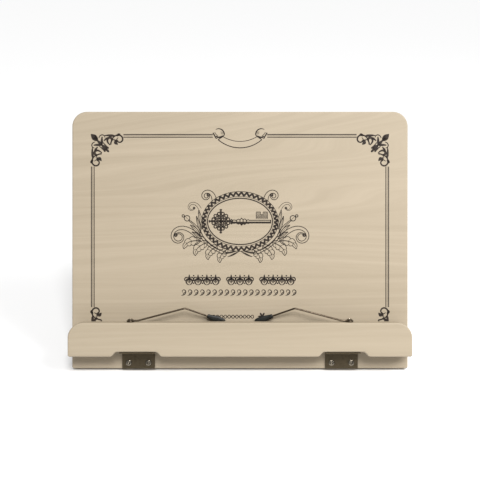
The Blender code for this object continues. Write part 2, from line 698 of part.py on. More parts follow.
def add_leg(frame):
    """The wire leg in the frame of its crossbar: Z runs up the leg to the bar that slides in the rail."""
    top, foot = STAY_LENGTH, STAY_LENGTH - LEG_LENGTH
    corners = [
        (-LEG_TOP_HALF, 0, top),
        (LEG_TOP_HALF, 0, top),
        (LEG_FOOT_HALF, 0, foot),
        (-LEG_FOOT_HALF, 0, foot),
    ]
    radii = (LEG_TOP_BEND, LEG_TOP_BEND, LEG_FOOT_BEND, LEG_FOOT_BEND)
    loop = rounded_path(corners, radii, closed=True)
    place(as_part(wire("leg_wire", loop, LEG_WIRE_RADIUS, closed=True), steel), frame)

    rail_x = LEG_TOP_HALF + LEG_SIDE_SLOPE * STAY_LENGTH
    surface = LEG_WIRE_RADIUS * math.hypot(1, LEG_SIDE_SLOPE)
    # The bar's own corner reaches further along the sloping side than its axis does.
    end = rail_x - surface - LEG_WIRE_RADIUS * LEG_SIDE_SLOPE - SEAT_GAP
    place(as_part(rod("leg_crossbar", LEG_WIRE_RADIUS, -end, end), steel), frame)

    for side, sign in (("left", -1), ("right", 1)):
        end = FOOT_LENGTH / 2
        ring = [
            (SOCKET_RADIUS, end),
            (FOOT_RADIUS - FOOT_CHAMFER, end),
            (FOOT_RADIUS, end - FOOT_CHAMFER),
            (FOOT_RADIUS, FOOT_CHAMFER - end),
            (FOOT_RADIUS - FOOT_CHAMFER, -end),
            (SOCKET_RADIUS, -end),
            (SOCKET_RADIUS, end),
        ]
        sleeve = turned(f"foot_{side}", ring, 24)
        place(as_part(sleeve, rubber), frame, (sign * FOOT_OFFSET, 0, foot), (0, 90, 0))


# ---------------------------------------------------------------- the whole stand


def set_down(frame):
    """Moves the frame so that the stand's lowest point is at z = 0 and the origin is under its middle."""
    bpy.context.view_layer.update()
    graph = bpy.context.evaluated_depsgraph_get()
    points = []
    for obj in parts.objects:
        if obj.type == "EMPTY":
            continue
        evaluated = obj.evaluated_get(graph)
        mesh = evaluated.to_mesh()
        points += [evaluated.matrix_world @ vertex.co for vertex in mesh.vertices]
        evaluated.to_mesh_clear()
    low = Vector([min(point[axis] for point in points) for axis in range(3)])
    high = Vector([max(point[axis] for point in points) for axis in range(3)])
    frame.location -= Vector(((low.x + high.x) / 2, (low.y + high.y) / 2, low.z))


def build():
    stand = new_frame("stand_frame", rotation=(-math.degrees(lean_angle()), 0, 0))
    ledge_axis = new_frame("ledge axis", stand, (0, HINGE_Y, HINGE_Z))
    stay_axis = new_frame("stay axis", stand, (0, PIVOT_STANDOFF, STAY_PIVOT_HEIGHT), (-STAND_ANGLE, 0, 0))
    leg_axis = new_frame("leg axis", stay_axis, (0, 0, STAY_LENGTH), (2 * STAND_ANGLE, 0, 0))

    panel = add_back_board(stand)
    ledge = add_ledge(ledge_axis)
    for side, sign in (("left", -1), ("right", 1)):
        add_hinge(side, sign * HINGE_OFFSET, stand, ledge_axis, panel, ledge)
        add_clip(side, -sign, ledge_axis, ledge)
    add_rail(stand, panel)
    add_bracket(stand, panel)
    add_stay(stay_axis)
    add_leg(leg_axis)
    set_down(stand)


clear_scene()
parts = new_collection("album_stand")
cutters = new_collection("cutters")
wood = new_material("wood", (0.62, 0.52, 0.36), 0.55)
nickel = new_material("nickel", (0.30, 0.28, 0.24), 0.35, 1.0)
steel = new_material("steel", (0.55, 0.54, 0.52), 0.3, 1.0)
dark_steel = new_material("dark_steel", (0.16, 0.14, 0.12), 0.3, 1.0)
rubber = new_material("rubber", (0.02, 0.02, 0.02), 0.7)
plastic = new_material("plastic", (0.03, 0.03, 0.03), 0.5)
build()
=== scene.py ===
# %% [markdown]
# # A folding album stand
#
# The stand is a pale wooden board that leans on a wire leg. A narrow wooden ledge folds up against it on
# two small butt hinges, and two wire clips with rubber boots hold the pages of an open album. The working
# model is made already: this notebook loads it and gives each piece the surface that a close look needs.

# %% Load the working model
import json

import bmesh
import bpy
import numpy as np
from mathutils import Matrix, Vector


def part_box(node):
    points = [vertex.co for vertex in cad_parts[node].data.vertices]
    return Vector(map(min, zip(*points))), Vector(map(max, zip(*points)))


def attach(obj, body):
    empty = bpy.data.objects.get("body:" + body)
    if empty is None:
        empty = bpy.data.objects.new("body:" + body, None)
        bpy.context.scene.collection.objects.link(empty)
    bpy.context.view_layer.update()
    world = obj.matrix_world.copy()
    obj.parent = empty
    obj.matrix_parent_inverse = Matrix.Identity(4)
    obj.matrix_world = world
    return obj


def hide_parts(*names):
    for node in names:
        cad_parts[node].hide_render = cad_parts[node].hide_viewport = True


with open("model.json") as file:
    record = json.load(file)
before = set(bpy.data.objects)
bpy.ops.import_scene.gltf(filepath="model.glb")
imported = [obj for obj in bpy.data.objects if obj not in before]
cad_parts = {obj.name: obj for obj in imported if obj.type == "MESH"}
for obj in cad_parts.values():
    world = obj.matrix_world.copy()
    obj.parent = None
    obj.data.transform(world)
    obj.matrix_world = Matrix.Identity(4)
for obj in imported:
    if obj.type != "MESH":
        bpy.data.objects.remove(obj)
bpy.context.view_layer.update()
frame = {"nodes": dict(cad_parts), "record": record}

# %% [markdown]
# ## The board's own coordinates
#
# The board leans back, so world axes are awkward for anything drawn on it. Every place below is given as
# (x, u, n): x to the right, u up the board from its lower edge, and n straight out of its front face. The
# directions come from the model's own record, and the zero of each is measured on the board, so nothing
# has to be fitted by eye. The record also says which body each node belongs to.

# %% Measure the board's directions and its zero points
MM = 0.001
MOUNTS = {mount["name"]: mount for mount in frame["record"]["mounts"]}
JOINTS = {joint["name"]: joint for joint in frame["record"]["behaviour"]["joints"]}
BODY_OF = {node: body for body, nodes in frame["record"]["behaviour"]["bodies"].items() for node in nodes}

ACROSS = np.array((1.0, 0.0, 0.0))
UP = -np.array(MOUNTS["board_lower_edge"]["axis"])
UP /= np.linalg.norm(UP)
OUT = np.cross(ACROSS, UP)
AXES = np.stack((ACROSS, UP, OUT))


def corners_of(node):
    """All vertices of a node of the working model, as rows of world coordinates."""
    mesh = frame["nodes"][node].data
    flat = np.empty(3 * len(mesh.vertices), dtype=np.float32)
    mesh.vertices.foreach_get("co", flat)
    return flat.reshape(-1, 3).astype(float)


on_axes = corners_of("back_board") @ AXES.T
ZERO = np.array((0.0, on_axes[:, 1].min(), on_axes[:, 2].max()))


def to_board(points):
    """World coordinates turned onto the board's axes, less the zero point."""
    return np.asarray(points) @ AXES.T - ZERO


def to_world(points):
    """The other way: the zero point is added back, and each coordinate runs along its own axis."""
    return (np.asarray(points) + ZERO) @ AXES


def span(node):
    """Lowest and highest (x, u, n) of a node."""
    points = to_board(corners_of(node))
    return points.min(axis=0), points.max(axis=0)


BOARD_LOW, BOARD_HIGH = span("back_board")
LEDGE_LOW, LEDGE_HIGH = span("ledge")
print("board mm", np.round((BOARD_HIGH - BOARD_LOW) / MM, 1), "ledge top mm", np.round(LEDGE_HIGH / MM, 1))

# %% [markdown]
# ## Turning arrays into pieces
#
# A surface that is a function of two parameters is a grid of points, and its faces follow from the grid's
# size alone. One helper writes the faces of any grid, which may close on itself either way, and another one
# makes the mesh, welds its poles and seams, and puts the piece on its body. The object stays at the origin.

# %% Helpers for grids and pieces
def grid_faces(rows, columns, close_rows=False, close_columns=False, first=0):
    """Corner numbers of each quad: a grid point, its neighbour along the row, and the next row's two."""
    row = np.arange(rows if close_rows else rows - 1)[:, None]
    column = np.arange(columns if close_columns else columns - 1)[None, :]
    next_row, next_column = (row + 1) % rows, (column + 1) % columns
    quads = (
        row * columns + column,
        row * columns + next_column,
        next_row * columns + next_column,
        next_row * columns + column,
    )
    return np.stack(np.broadcast_arrays(*quads), axis=-1).reshape(-1, 4) + first


WELD = 1e-7
CREASE = 35.0


def new_piece(name, points, faces, material, body, node=None, crease=CREASE):
    """A mesh of world points and faces. Where a node is named, the piece replaces it."""
    mesh = bpy.data.meshes.new(name)
    mesh.from_pydata(np.asarray(points).reshape(-1, 3).tolist(), [], [list(face) for face in faces])
    return finish_piece(name, mesh, material, body, node, crease)


def finish_piece(name, mesh, material, body, node, crease):
    """Welds a mesh, turns its faces outwards, smooths it up to the crease angle and hands it to its body."""
    shell = bmesh.new()
    shell.from_mesh(mesh)
    bmesh.ops.remove_doubles(shell, verts=shell.verts, dist=WELD)
    bmesh.ops.recalc_face_normals(shell, faces=shell.faces)
    shell.to_mesh(mesh)
    shell.free()
    mesh.shade_smooth()
    mesh.set_sharp_from_angle(angle=np.radians(crease))
    mesh.materials.clear()
    mesh.materials.append(material)
    piece = bpy.data.objects.new(name, mesh)
    bpy.context.scene.collection.objects.link(piece)
    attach(piece, body)
    if node:
        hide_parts(node)
    return piece


def tube_rows(path, radius, reference, sides=16, closed=False):
    """Rings round a path. Each ring lies in the plane across the path, spanned by the cross product of the
    reference and the path's direction, and by the cross product of that with the direction."""
    path = np.asarray(path, dtype=float)
    if closed:
        ahead = np.roll(path, -1, axis=0) - np.roll(path, 1, axis=0)
    else:
        ahead = np.gradient(path, axis=0)
    ahead /= np.linalg.norm(ahead, axis=1, keepdims=True)
    side = np.cross(reference, ahead)
    side /= np.linalg.norm(side, axis=1, keepdims=True)
    lift = np.cross(ahead, side)
    radius = np.broadcast_to(radius, len(path))[:, None, None]
    turn = np.linspace(0, 2 * np.pi, sides, endpoint=False)[None, :, None]
    return path[:, None] + radius * (np.cos(turn) * side[:, None] + np.sin(turn) * lift[:, None])


def round_ends(path, radius, steps=4):
    """An open path with a half ball at each end: extra points whose radius falls along a quarter circle."""
    angle = np.linspace(np.pi / 2, 0, steps, endpoint=False)[:, None]
    start = (path[0] - path[1]) / np.linalg.norm(path[0] - path[1])
    end = (path[-1] - path[-2]) / np.linalg.norm(path[-1] - path[-2])
    reach = 0.999 * radius
    before = path[0] + start * reach * np.sin(angle)
    after = path[-1] + end * reach * np.sin(angle[::-1])
    falling = (radius * np.cos(angle[:, 0])).clip(1e-8)
    full = np.full(len(path), radius)
    return np.vstack((before, path, after)), np.concatenate((falling, full, falling[::-1]))


def arc(centre, radius, start, stop, steps):
    """Points on a circle in the plane, from one angle in degrees to another."""
    angle = np.radians(np.linspace(start, stop, steps + 1))
    return np.asarray(centre) + radius * np.stack((np.cos(angle), np.sin(angle)), axis=-1)


def rounded(corners, radii, closed=True, step=6.0):
    """A path through corners with each corner replaced by a circle's arc that touches both of its sides."""
    corners = np.asarray(corners, dtype=float)
    pieces = []
    for i, (corner, radius) in enumerate(zip(corners, radii)):
        if radius == 0:
            pieces.append(corner[None])
            continue
        back = corners[i - 1] - corner
        ahead = corners[(i + 1) % len(corners)] - corner
        back /= np.linalg.norm(back)
        ahead /= np.linalg.norm(ahead)
        half = np.arccos(np.clip(back @ ahead, -1, 1)) / 2
        middle = (back + ahead) / np.linalg.norm(back + ahead)
        centre = corner + middle * radius / np.sin(half)
        first = (corner + back * radius / np.tan(half) - centre) / radius
        turn = np.pi - 2 * half
        angle = np.linspace(0, turn, max(3, int(np.degrees(turn) / step)) + 1)[:, None]
        pieces.append(centre + radius * (first * np.cos(angle) - back * np.sin(angle)))
    return np.vstack(pieces)


# %% [markdown]
# ## Effects that several finishes share
#
# A node group is a recipe with named inputs. Three are built once here: the veneer's grain, the fine marks
# that handling leaves on metal, and the skin of moulded rubber and plastic. Each finish then places a group
# with its own values. A group gives only tones and heights, and the shader itself stays in the material.
#
# All three are made of noise. Stretched far along one axis it reads as fibres or brushing, and left even it
# reads as stains or grain, so no drawn texture is needed.

# %% Small helpers for node trees


def add_node(tree, kind, inputs=(), **settings):
    """A node with its settings made and its inputs linked or set."""
    node = tree.nodes.new(kind)
    for key, value in settings.items():
        setattr(node, key, value)
    for key, value in dict(inputs).items():
        socket = node.inputs[key]
        if isinstance(value, bpy.types.NodeSocket):
            tree.links.new(value, socket)
        else:
            socket.default_value = value
    return node


def new_group(name, inputs, outputs):
    """An empty group with float inputs, given as name and value, and outputs, given as name and type."""
    tree = bpy.data.node_groups.new(name, "ShaderNodeTree")
    tree.interface.new_socket("Vector", in_out="INPUT", socket_type="NodeSocketVector")
    for label, value in inputs:
        socket = tree.interface.new_socket(label, in_out="INPUT", socket_type="NodeSocketFloat")
        socket.default_value = value
    for label, kind in outputs:
        tree.interface.new_socket(label, in_out="OUTPUT", socket_type=kind)
    return tree, tree.nodes.new("NodeGroupInput"), tree.nodes.new("NodeGroupOutput")


def multiply_add(tree, value, factor, addend):
    """value times factor plus addend, as one Math node."""
    node = add_node(tree, "ShaderNodeMath", operation="MULTIPLY_ADD")
    for socket, given in zip(node.inputs, (value, factor, addend)):
        if isinstance(given, bpy.types.NodeSocket):
            tree.links.new(given, socket)
        else:
            socket.default_value = given
    return node.outputs[0]


def noise(tree, vector, repeats, detail, roughness=0.5):
    """Noise with its own number of repeats in a metre along each axis, or one number for all three."""
    if np.isscalar(repeats):
        inputs = {"Vector": vector, "Scale": float(repeats)}
    else:
        squeezed = add_node(tree, "ShaderNodeMapping", {"Vector": vector, "Scale": repeats}).outputs[0]
        inputs = {"Vector": squeezed, "Scale": 1.0}
    return add_node(tree, "ShaderNodeTexNoise", {**inputs, "Detail": detail, "Roughness": roughness}).outputs


# %% The veneer's grain
def make_veneer_grain():
    """Growth lines are noise that is stretched a hundredfold along the board. They wander, because their
    coordinates are multiplied by a slow noise. Pores are shorter dashes of a finer noise, and figure is a
    slow change of tone across several centimetres. The tone is the mean of the three, weighted by their
    strengths."""
    tree, given, made = new_group(
        "veneer grain",
        (("Line Strength", 1.0), ("Pore Strength", 1.0), ("Figure Strength", 1.0)),
        (("Tone", "NodeSocketFloat"), ("Height", "NodeSocketFloat")),
    )
    where = given.outputs["Vector"]
    bend = noise(tree, where, (0.8, 7.0, 40.0), 2.0)["Color"]
    shift = add_node(tree, "ShaderNodeVectorMath", {0: bend, 1: (0.0, 0.002, 0.0)}, operation="MULTIPLY")
    wander = {0: where, 1: bend, 2: shift.outputs[0]}
    warped = add_node(tree, "ShaderNodeVectorMath", wander, operation="MULTIPLY_ADD").outputs[0]
    lines = noise(tree, warped, (2.6, 330.0, 60.0), 3.0)["Fac"]
    pores = noise(tree, warped, (70.0, 1900.0, 400.0), 2.0)["Fac"]
    figure = noise(tree, where, (1.6, 34.0, 20.0), 3.0)["Fac"]
    line_strength, pore_strength = given.outputs["Line Strength"], given.outputs["Pore Strength"]
    figure_strength = given.outputs["Figure Strength"]
    line_tone = multiply_add(tree, lines, line_strength, 0.0)
    pore_tone = multiply_add(tree, pores, pore_strength, line_tone)
    tone = multiply_add(tree, figure, figure_strength, pore_tone)
    partial = add_node(tree, "ShaderNodeMath", {0: line_strength, 1: pore_strength}, operation="ADD")
    whole = add_node(tree, "ShaderNodeMath", {0: partial.outputs[0], 1: figure_strength}, operation="ADD")
    share = add_node(tree, "ShaderNodeMath", {0: tone, 1: whole.outputs[0]}, operation="DIVIDE")
    tree.links.new(share.outputs[0], made.inputs["Tone"])
    tree.links.new(pore_tone, made.inputs["Height"])
    return tree


# %% Marks of handling on metal
def make_metal_marks():
    """Brushing is noise stretched along one axis, and stains are a slow noise with a soft threshold."""
    tree, given, made = new_group(
        "metal marks",
        (("Brush Strength", 1.0), ("Stain Amount", 0.5)),
        (("Brush", "NodeSocketFloat"), ("Stain", "NodeSocketFloat")),
    )
    where = given.outputs["Vector"]
    brush = noise(tree, where, (160.0, 5200.0, 5200.0), 2.0)["Fac"]
    centred = add_node(tree, "ShaderNodeMath", {0: brush, 1: 0.5}, operation="SUBTRACT")
    brushed = multiply_add(tree, centred.outputs[0], given.outputs["Brush Strength"], 0.5)
    stain = noise(tree, where, 420.0, 5.0, 0.65)["Fac"]
    edge = add_node(tree, "ShaderNodeMath", {0: stain, 1: given.outputs["Stain Amount"]}, operation="ADD")
    threshold = {"Value": edge.outputs[0], "From Min": 0.85, "From Max": 1.25}
    soft = add_node(tree, "ShaderNodeMapRange", threshold, interpolation_type="SMOOTHSTEP")
    tree.links.new(brushed, made.inputs["Brush"])
    tree.links.new(soft.outputs["Result"], made.inputs["Stain"])
    return tree


# %% Moulded skin for rubber and plastic
def make_moulded_skin():
    """Fine spark-eroded texture is a sharp noise, and mould flow is a slow one."""
    outputs = (("Grain", "NodeSocketFloat"), ("Flow", "NodeSocketFloat"))
    tree, given, made = new_group("moulded skin", (("Grain Size", 0.0004),), outputs)
    where = given.outputs["Vector"]
    fineness = add_node(tree, "ShaderNodeMath", {0: 1.0, 1: given.outputs["Grain Size"]}, operation="DIVIDE")
    grain = add_node(tree, "ShaderNodeTexNoise", {"Vector": where, "Detail": 2.0, "Roughness": 0.7})
    tree.links.new(fineness.outputs[0], grain.inputs["Scale"])
    flow = noise(tree, where, 130.0, 2.0)["Fac"]
    tree.links.new(grain.outputs["Fac"], made.inputs["Grain"])
    tree.links.new(flow, made.inputs["Flow"])
    return tree


VENEER_GRAIN = make_veneer_grain()
METAL_MARKS = make_metal_marks()
MOULDED_SKIN = make_moulded_skin()
print("groups:", [group.name for group in (VENEER_GRAIN, METAL_MARKS, MOULDED_SKIN)])

# %% [markdown]
# ## Finishes
#
# Each finish is a Principled shader whose colour, roughness and fine relief come from a group. Grain must
# run along the board and not along the world's axes, so a Mapping node first turns the object's
# coordinates by the angle that the board leans.
#
# The real stand has pale satin veneer, dark brown print, antiqued bronze on its hinges and clips, bright
# zinc and nickel behind, and black rubber and plastic. Each of them gets two nearby colours, and the
# group's pattern goes from one to the other, because a single flat colour looks like paint.

# %% What every finish starts from
LEAN = float(np.arctan2(UP[1], UP[2]))


def new_finish(name, group, values, turn=LEAN, shift=(0.0, 0.0, 0.0)):
    """A material with its shader and one group, which reads coordinates turned to lie along the board."""
    material = bpy.data.materials.new(name)
    material.use_nodes = True
    tree = material.node_tree
    where = add_node(tree, "ShaderNodeTexCoord").outputs["Object"]
    lying = {"Vector": where, "Rotation": (turn, 0.0, 0.0), "Location": shift}
    turned = add_node(tree, "ShaderNodeMapping", lying)
    swapped = add_node(tree, "ShaderNodeSeparateXYZ", {0: turned.outputs[0]})
    along = add_node(tree, "ShaderNodeCombineXYZ")
    for source, target in ((0, 0), (2, 1), (1, 2)):
        tree.links.new(swapped.outputs[source], along.inputs[target])
    effect = tree.nodes.new("ShaderNodeGroup")
    effect.node_tree = group
    tree.links.new(along.outputs[0], effect.inputs["Vector"])
    for label, value in values.items():
        effect.inputs[label].default_value = value
    return material, tree, tree.nodes["Principled BSDF"], effect


def colour_between(tree, factor, low, high, shader, socket="Base Color"):
    """A colour that goes from low to high as the factor goes from 0 to 1."""
    mix = add_node(tree, "ShaderNodeMix", data_type="RGBA")
    tree.links.new(factor, mix.inputs["Factor"])
    mix.inputs["A"].default_value = (*low, 1.0)
    mix.inputs["B"].default_value = (*high, 1.0)
    tree.links.new(mix.outputs["Result"], shader.inputs[socket])
    return mix.outputs["Result"]


def ramped(tree, value, low, high, to_low=0.0, to_high=1.0):
    """A value carried from one range onto another, and kept inside it."""
    node = add_node(tree, "ShaderNodeMapRange", {"Value": value, "From Min": low, "From Max": high})
    node.inputs["To Min"].default_value = to_low
    node.inputs["To Max"].default_value = to_high
    return node.outputs["Result"]


def add_relief(tree, height, distance, shader, strength=1.0):
    """Fine relief: a Bump node of the given depth in metres."""
    bump = add_node(tree, "ShaderNodeBump", {"Height": height, "Distance": distance, "Strength": strength})
    tree.links.new(bump.outputs["Normal"], shader.inputs["Normal"])


# %% Veneer, ink, metals, rubber and plastic
def make_veneer(name, dark, light, shift):
    """Pale veneer under satin lacquer: the tone group mixes two wood colours and gives a faint relief."""
    values = {"Line Strength": 1.0, "Pore Strength": 0.3, "Figure Strength": 0.35}
    material, tree, shader, grain = new_finish(name, VENEER_GRAIN, values, shift=shift)
    factor = ramped(tree, grain.outputs["Tone"], 0.36, 0.64)
    colour_between(tree, factor, dark, light, shader)
    tree.links.new(ramped(tree, grain.outputs["Tone"], 0.3, 0.7, 0.46, 0.56), shader.inputs["Roughness"])
    add_relief(tree, grain.outputs["Height"], 0.03 * MM, shader, 0.6)
    shader.inputs["Specular IOR Level"].default_value = 0.35
    return material


def make_ink():
    """Dark brown ink that lets a little of the wood's grain through."""
    values = {"Line Strength": 1.0, "Pore Strength": 1.0, "Figure Strength": 0.3}
    material, tree, shader, grain = new_finish("printing ink", VENEER_GRAIN, values)
    factor = ramped(tree, grain.outputs["Tone"], 0.4, 0.65)
    colour_between(tree, factor, (0.011, 0.007, 0.0045), (0.030, 0.020, 0.013), shader)
    shader.inputs["Roughness"].default_value = 0.62
    shader.inputs["Specular IOR Level"].default_value = 0.25
    return material


def make_metal(name, dark, light, roughness, brush, stain, turn=LEAN):
    """Metal with brushing that varies its roughness and stains that darken it."""
    values = {"Brush Strength": brush, "Stain Amount": stain}
    material, tree, shader, marks = new_finish(name, METAL_MARKS, values, turn=turn)
    colour_between(tree, marks.outputs["Stain"], light, dark, shader)
    low, high = roughness
    tree.links.new(ramped(tree, marks.outputs["Brush"], 0.2, 0.8, low, high), shader.inputs["Roughness"])
    add_relief(tree, marks.outputs["Brush"], 0.02 * MM, shader, 0.5)
    shader.inputs["Metallic"].default_value = 1.0
    return material


def make_moulded(name, dark, light, roughness, grain_size, depth):
    """Rubber or plastic: nearly one colour, with a moulded grain."""
    material, tree, shader, skin = new_finish(name, MOULDED_SKIN, {"Grain Size": grain_size})
    colour_between(tree, ramped(tree, skin.outputs["Flow"], 0.3, 0.7), dark, light, shader)
    low, high = roughness
    tree.links.new(ramped(tree, skin.outputs["Flow"], 0.3, 0.7, low, high), shader.inputs["Roughness"])
    add_relief(tree, skin.outputs["Grain"], depth, shader, 0.7)
    shader.inputs["Specular IOR Level"].default_value = 0.3
    return material


BOOT_BLACKS = (0.004, 0.0045, 0.004), (0.010, 0.011, 0.009)
FOOT_BLACKS = (0.012, 0.012, 0.012), (0.028, 0.027, 0.026)
RAIL_BLACKS = (0.016, 0.015, 0.014), (0.030, 0.029, 0.027)
HINGE_BROWNS = (0.071, 0.056, 0.035), (0.114, 0.090, 0.057)
SCREW_BROWNS = (0.100, 0.085, 0.060), (0.250, 0.220, 0.175)
WIRE_BROWNS = (0.035, 0.026, 0.018), (0.110, 0.085, 0.060)
ZINC_GREYS = (0.36, 0.36, 0.35), (0.60, 0.60, 0.59)
NICKEL_GREYS = (0.36, 0.35, 0.32), (0.58, 0.56, 0.52)

BOARD_VENEER = make_veneer("board veneer", (0.304, 0.251, 0.178), (0.348, 0.289, 0.210), (0.0, 0.0, 0.0))
LEDGE_VENEER = make_veneer("ledge veneer", (0.304, 0.251, 0.177), (0.348, 0.290, 0.211), (0.31, 0.0, 0.17))
INK = make_ink()
HINGE_BRONZE = make_metal("antiqued hinge plate", *HINGE_BROWNS, (0.34, 0.48), 0.6, 0.42)
SCREW_STEEL = make_metal("screw steel", *SCREW_BROWNS, (0.18, 0.30), 0.5, 0.4)
CLIP_STEEL = make_metal("bronzed spring wire", *WIRE_BROWNS, (0.26, 0.38), 0.6, 0.45)
ZINC_STEEL = make_metal("bright zinc wire", *ZINC_GREYS, (0.22, 0.36), 0.7, 0.35)
NICKEL_SHEET = make_metal("nickel plated sheet", *NICKEL_GREYS, (0.26, 0.42), 1.2, 0.3)
BOOT_RUBBER = make_moulded("boot rubber", *BOOT_BLACKS, (0.34, 0.5), 0.6 * MM, 0.02 * MM)
FOOT_RUBBER = make_moulded("foot rubber", *FOOT_BLACKS, (0.6, 0.75), 0.8 * MM, 0.05 * MM)
RAIL_PLASTIC = make_moulded("rail plastic", *RAIL_BLACKS, (0.38, 0.5), 0.5 * MM, 0.03 * MM)
print("finishes:", len(bpy.data.materials))

# %% [markdown]
# ## The two boards
#
# The boards are veneered and their edges are eased with sandpaper. A box with a Bevel modifier would do
# for a plain board, but the ledge also has notches, so both are made the same way: the outline is carried
# over a rim profile, which is a quarter circle at the front edge, straight down the side, and a quarter
# circle at the back edge. Each ring of the rim is the outline moved inwards by the profile's inset. One
# more ring lies just inside each flat face, so that the shading of the big flat faces stays perfectly
# even.

# %% A board from its outline
EDGE_RADIUS = 1.3 * MM
FACE_MARGIN = 0.3 * MM
RIM_STEPS = 6


def moved_inwards(outline, inset):
    """An anticlockwise outline with each point moved along the mean normal of its two sides, and a little
    further at corners, so that the sides themselves move by the inset."""
    ahead = np.roll(outline, -1, axis=0) - outline
    ahead /= np.linalg.norm(ahead, axis=1, keepdims=True)
    inward = np.stack((-ahead[:, 1], ahead[:, 0]), axis=-1)
    both = inward + np.roll(inward, 1, axis=0)
    mean = both / (both**2).sum(axis=1, keepdims=True) * 2
    return outline + inset * mean


def make_board(name, outline, back, front, material, node):
    """Rings of the rim from the front face to the back one, closed by one flat face at each end. Along each
    quarter circle the inset is the radius less its sine and the depth is the radius less its cosine."""
    angle = np.radians(np.linspace(0, 90, RIM_STEPS + 1))
    curve_in, curve_down = EDGE_RADIUS * (1 - np.sin(angle)), EDGE_RADIUS * (1 - np.cos(angle))
    margin = [EDGE_RADIUS + FACE_MARGIN]
    insets = np.concatenate((margin, curve_in, curve_in[::-1], margin))
    depths = np.concatenate(([front], front - curve_down, back + curve_down[::-1], [back]))
    rings = [
        np.column_stack((moved_inwards(outline, inset), np.full(len(outline), depth)))
        for inset, depth in zip(insets, depths)
    ]
    count, points = len(outline), np.vstack(rings)
    faces = grid_faces(len(rings), count, close_columns=True).tolist()
    faces.append(list(range(count)))
    faces.append(list(range(len(points) - count, len(points))))
    return new_piece(name, to_world(points), faces, material, BODY_OF[node], node)


CORNER_RADIUS = 15.0 * MM
LOWER_CORNER = 1.9 * MM  # more than the rim and its margin reach inwards
width, height = BOARD_HIGH[0], BOARD_HIGH[1]
board_corners = [(-width, 0), (width, 0), (width, height), (-width, height)]
board_radii = (LOWER_CORNER, LOWER_CORNER, CORNER_RADIUS, CORNER_RADIUS)
board_outline = rounded(board_corners, board_radii, step=4.0)
make_board("board_panel", board_outline, BOARD_LOW[2], 0.0, BOARD_VENEER, "back_board")
print("board outline points:", len(board_outline))

# %% [markdown]
# ## The ledge and its notches
#
# The ledge is the same kind of board, with a shallow notch in its lower edge for each hinge. The notches
# are cut with a router, so their shoulders slope and their corners are round. The roof of each one lies
# just over the hinge's leaf, so its height is measured there. A Boolean could cut them, but as corners of
# the outline they get the same eased edge as the rest.

# %% The ledge
NOTCH_MOUTH = 49.0 * MM
NOTCH_ROOF = 41.0 * MM
NOTCH_ROUNDING = 4.0 * MM
NOTCH_OVER_LEAF = 0.2 * MM
SIDES = ("left", "right")

notch_top = span("hinge_left_ledge_leaf")[1][1] + NOTCH_OVER_LEAF
ledge_half, ledge_bottom, ledge_top = LEDGE_HIGH[0], LEDGE_LOW[1], LEDGE_HIGH[1]
ledge_corners = [(-ledge_half, ledge_bottom)]
for side in SIDES:
    middle = np.mean([limit[0] for limit in span(f"hinge_{side}_pin")])
    ledge_corners += [
        (middle - NOTCH_MOUTH / 2, ledge_bottom),
        (middle - NOTCH_ROOF / 2, notch_top),
        (middle + NOTCH_ROOF / 2, notch_top),
        (middle + NOTCH_MOUTH / 2, ledge_bottom),
    ]
ledge_corners += [(ledge_half, ledge_bottom), (ledge_half, ledge_top), (-ledge_half, ledge_top)]
ledge_radii = [LOWER_CORNER] + [NOTCH_ROUNDING] * 8 + [LOWER_CORNER, CORNER_RADIUS, CORNER_RADIUS]
ledge_outline = rounded(ledge_corners, ledge_radii, step=4.0)
make_board("ledge_board", ledge_outline, LEDGE_LOW[2], LEDGE_HIGH[2], LEDGE_VENEER, "ledge")
print("notch top mm:", round(notch_top / MM, 2))

# %% [markdown]
# ## Printed lines as thin geometry
#
# On the real board the ornament is screen printed, a film of ink too thin to feel. It could be a texture,
# but a line that is real geometry stays sharp at any distance. A stroke is a path on the board with a
# width at each point, and it becomes a flat ribbon that stands a twentieth of a millimetre above the wood.
# The paths come from a few rules: circles, ovals, straight rules, and curls whose curvature grows evenly,
# as a penman's flourish does.

# %% Strokes
INK_LOW, INK_HIGH = -0.02 * MM, 0.05 * MM
FINEST_LINE = 0.04  # in millimetres, as all widths and paths of the print


class Print:
    """Collects strokes given in millimetres and turns them into one piece."""

    def __init__(self, name, weight=1.0):
        self.name, self.points, self.faces, self.count = name, [], [], 0
        self.weight = weight

    def stroke(self, path, width, closed=False):
        """A ribbon: four corners at each point of the path, half the width to each side."""
        path, width = np.asarray(path, dtype=float), np.asarray(width) * self.weight
        if closed:
            ahead = np.roll(path, -1, axis=0) - np.roll(path, 1, axis=0)
        else:
            ahead = np.gradient(path, axis=0)
        ahead /= np.maximum(np.linalg.norm(ahead, axis=1, keepdims=True), 1e-9)
        across = np.stack((-ahead[:, 1], ahead[:, 0]), axis=-1)
        half = np.maximum(np.broadcast_to(width, len(path)), FINEST_LINE)[:, None] / 2
        left, right = (path + half * across) * MM, (path - half * across) * MM
        low, high = np.full((len(path), 1), INK_LOW), np.full((len(path), 1), INK_HIGH)
        edges = ((left, high), (right, high), (right, low), (left, low))
        ring = np.stack([np.hstack(edge) for edge in edges], axis=1)
        faces = grid_faces(len(path), 4, close_rows=closed, close_columns=True, first=self.count)
        self.faces += faces.tolist()
        if not closed:
            last = self.count + 4 * (len(path) - 1)
            self.faces += [[self.count + k for k in (3, 2, 1, 0)], [last + k for k in (0, 1, 2, 3)]]
        self.points.append(ring.reshape(-1, 3))
        self.count += 4 * len(path)

    def both(self, path, width, closed=False):
        """The stroke and its mirror image."""
        path = np.asarray(path, dtype=float)
        self.stroke(path, width, closed)
        self.stroke(path * (-1, 1), width, closed)

    def finish(self):
        """Makes the piece. Overlapping strokes stay separate ribbons in it."""
        points = to_world(np.vstack(self.points))
        piece = new_piece(self.name, points, self.faces, INK, "board")
        print(self.name, "faces:", len(self.faces))
        return piece


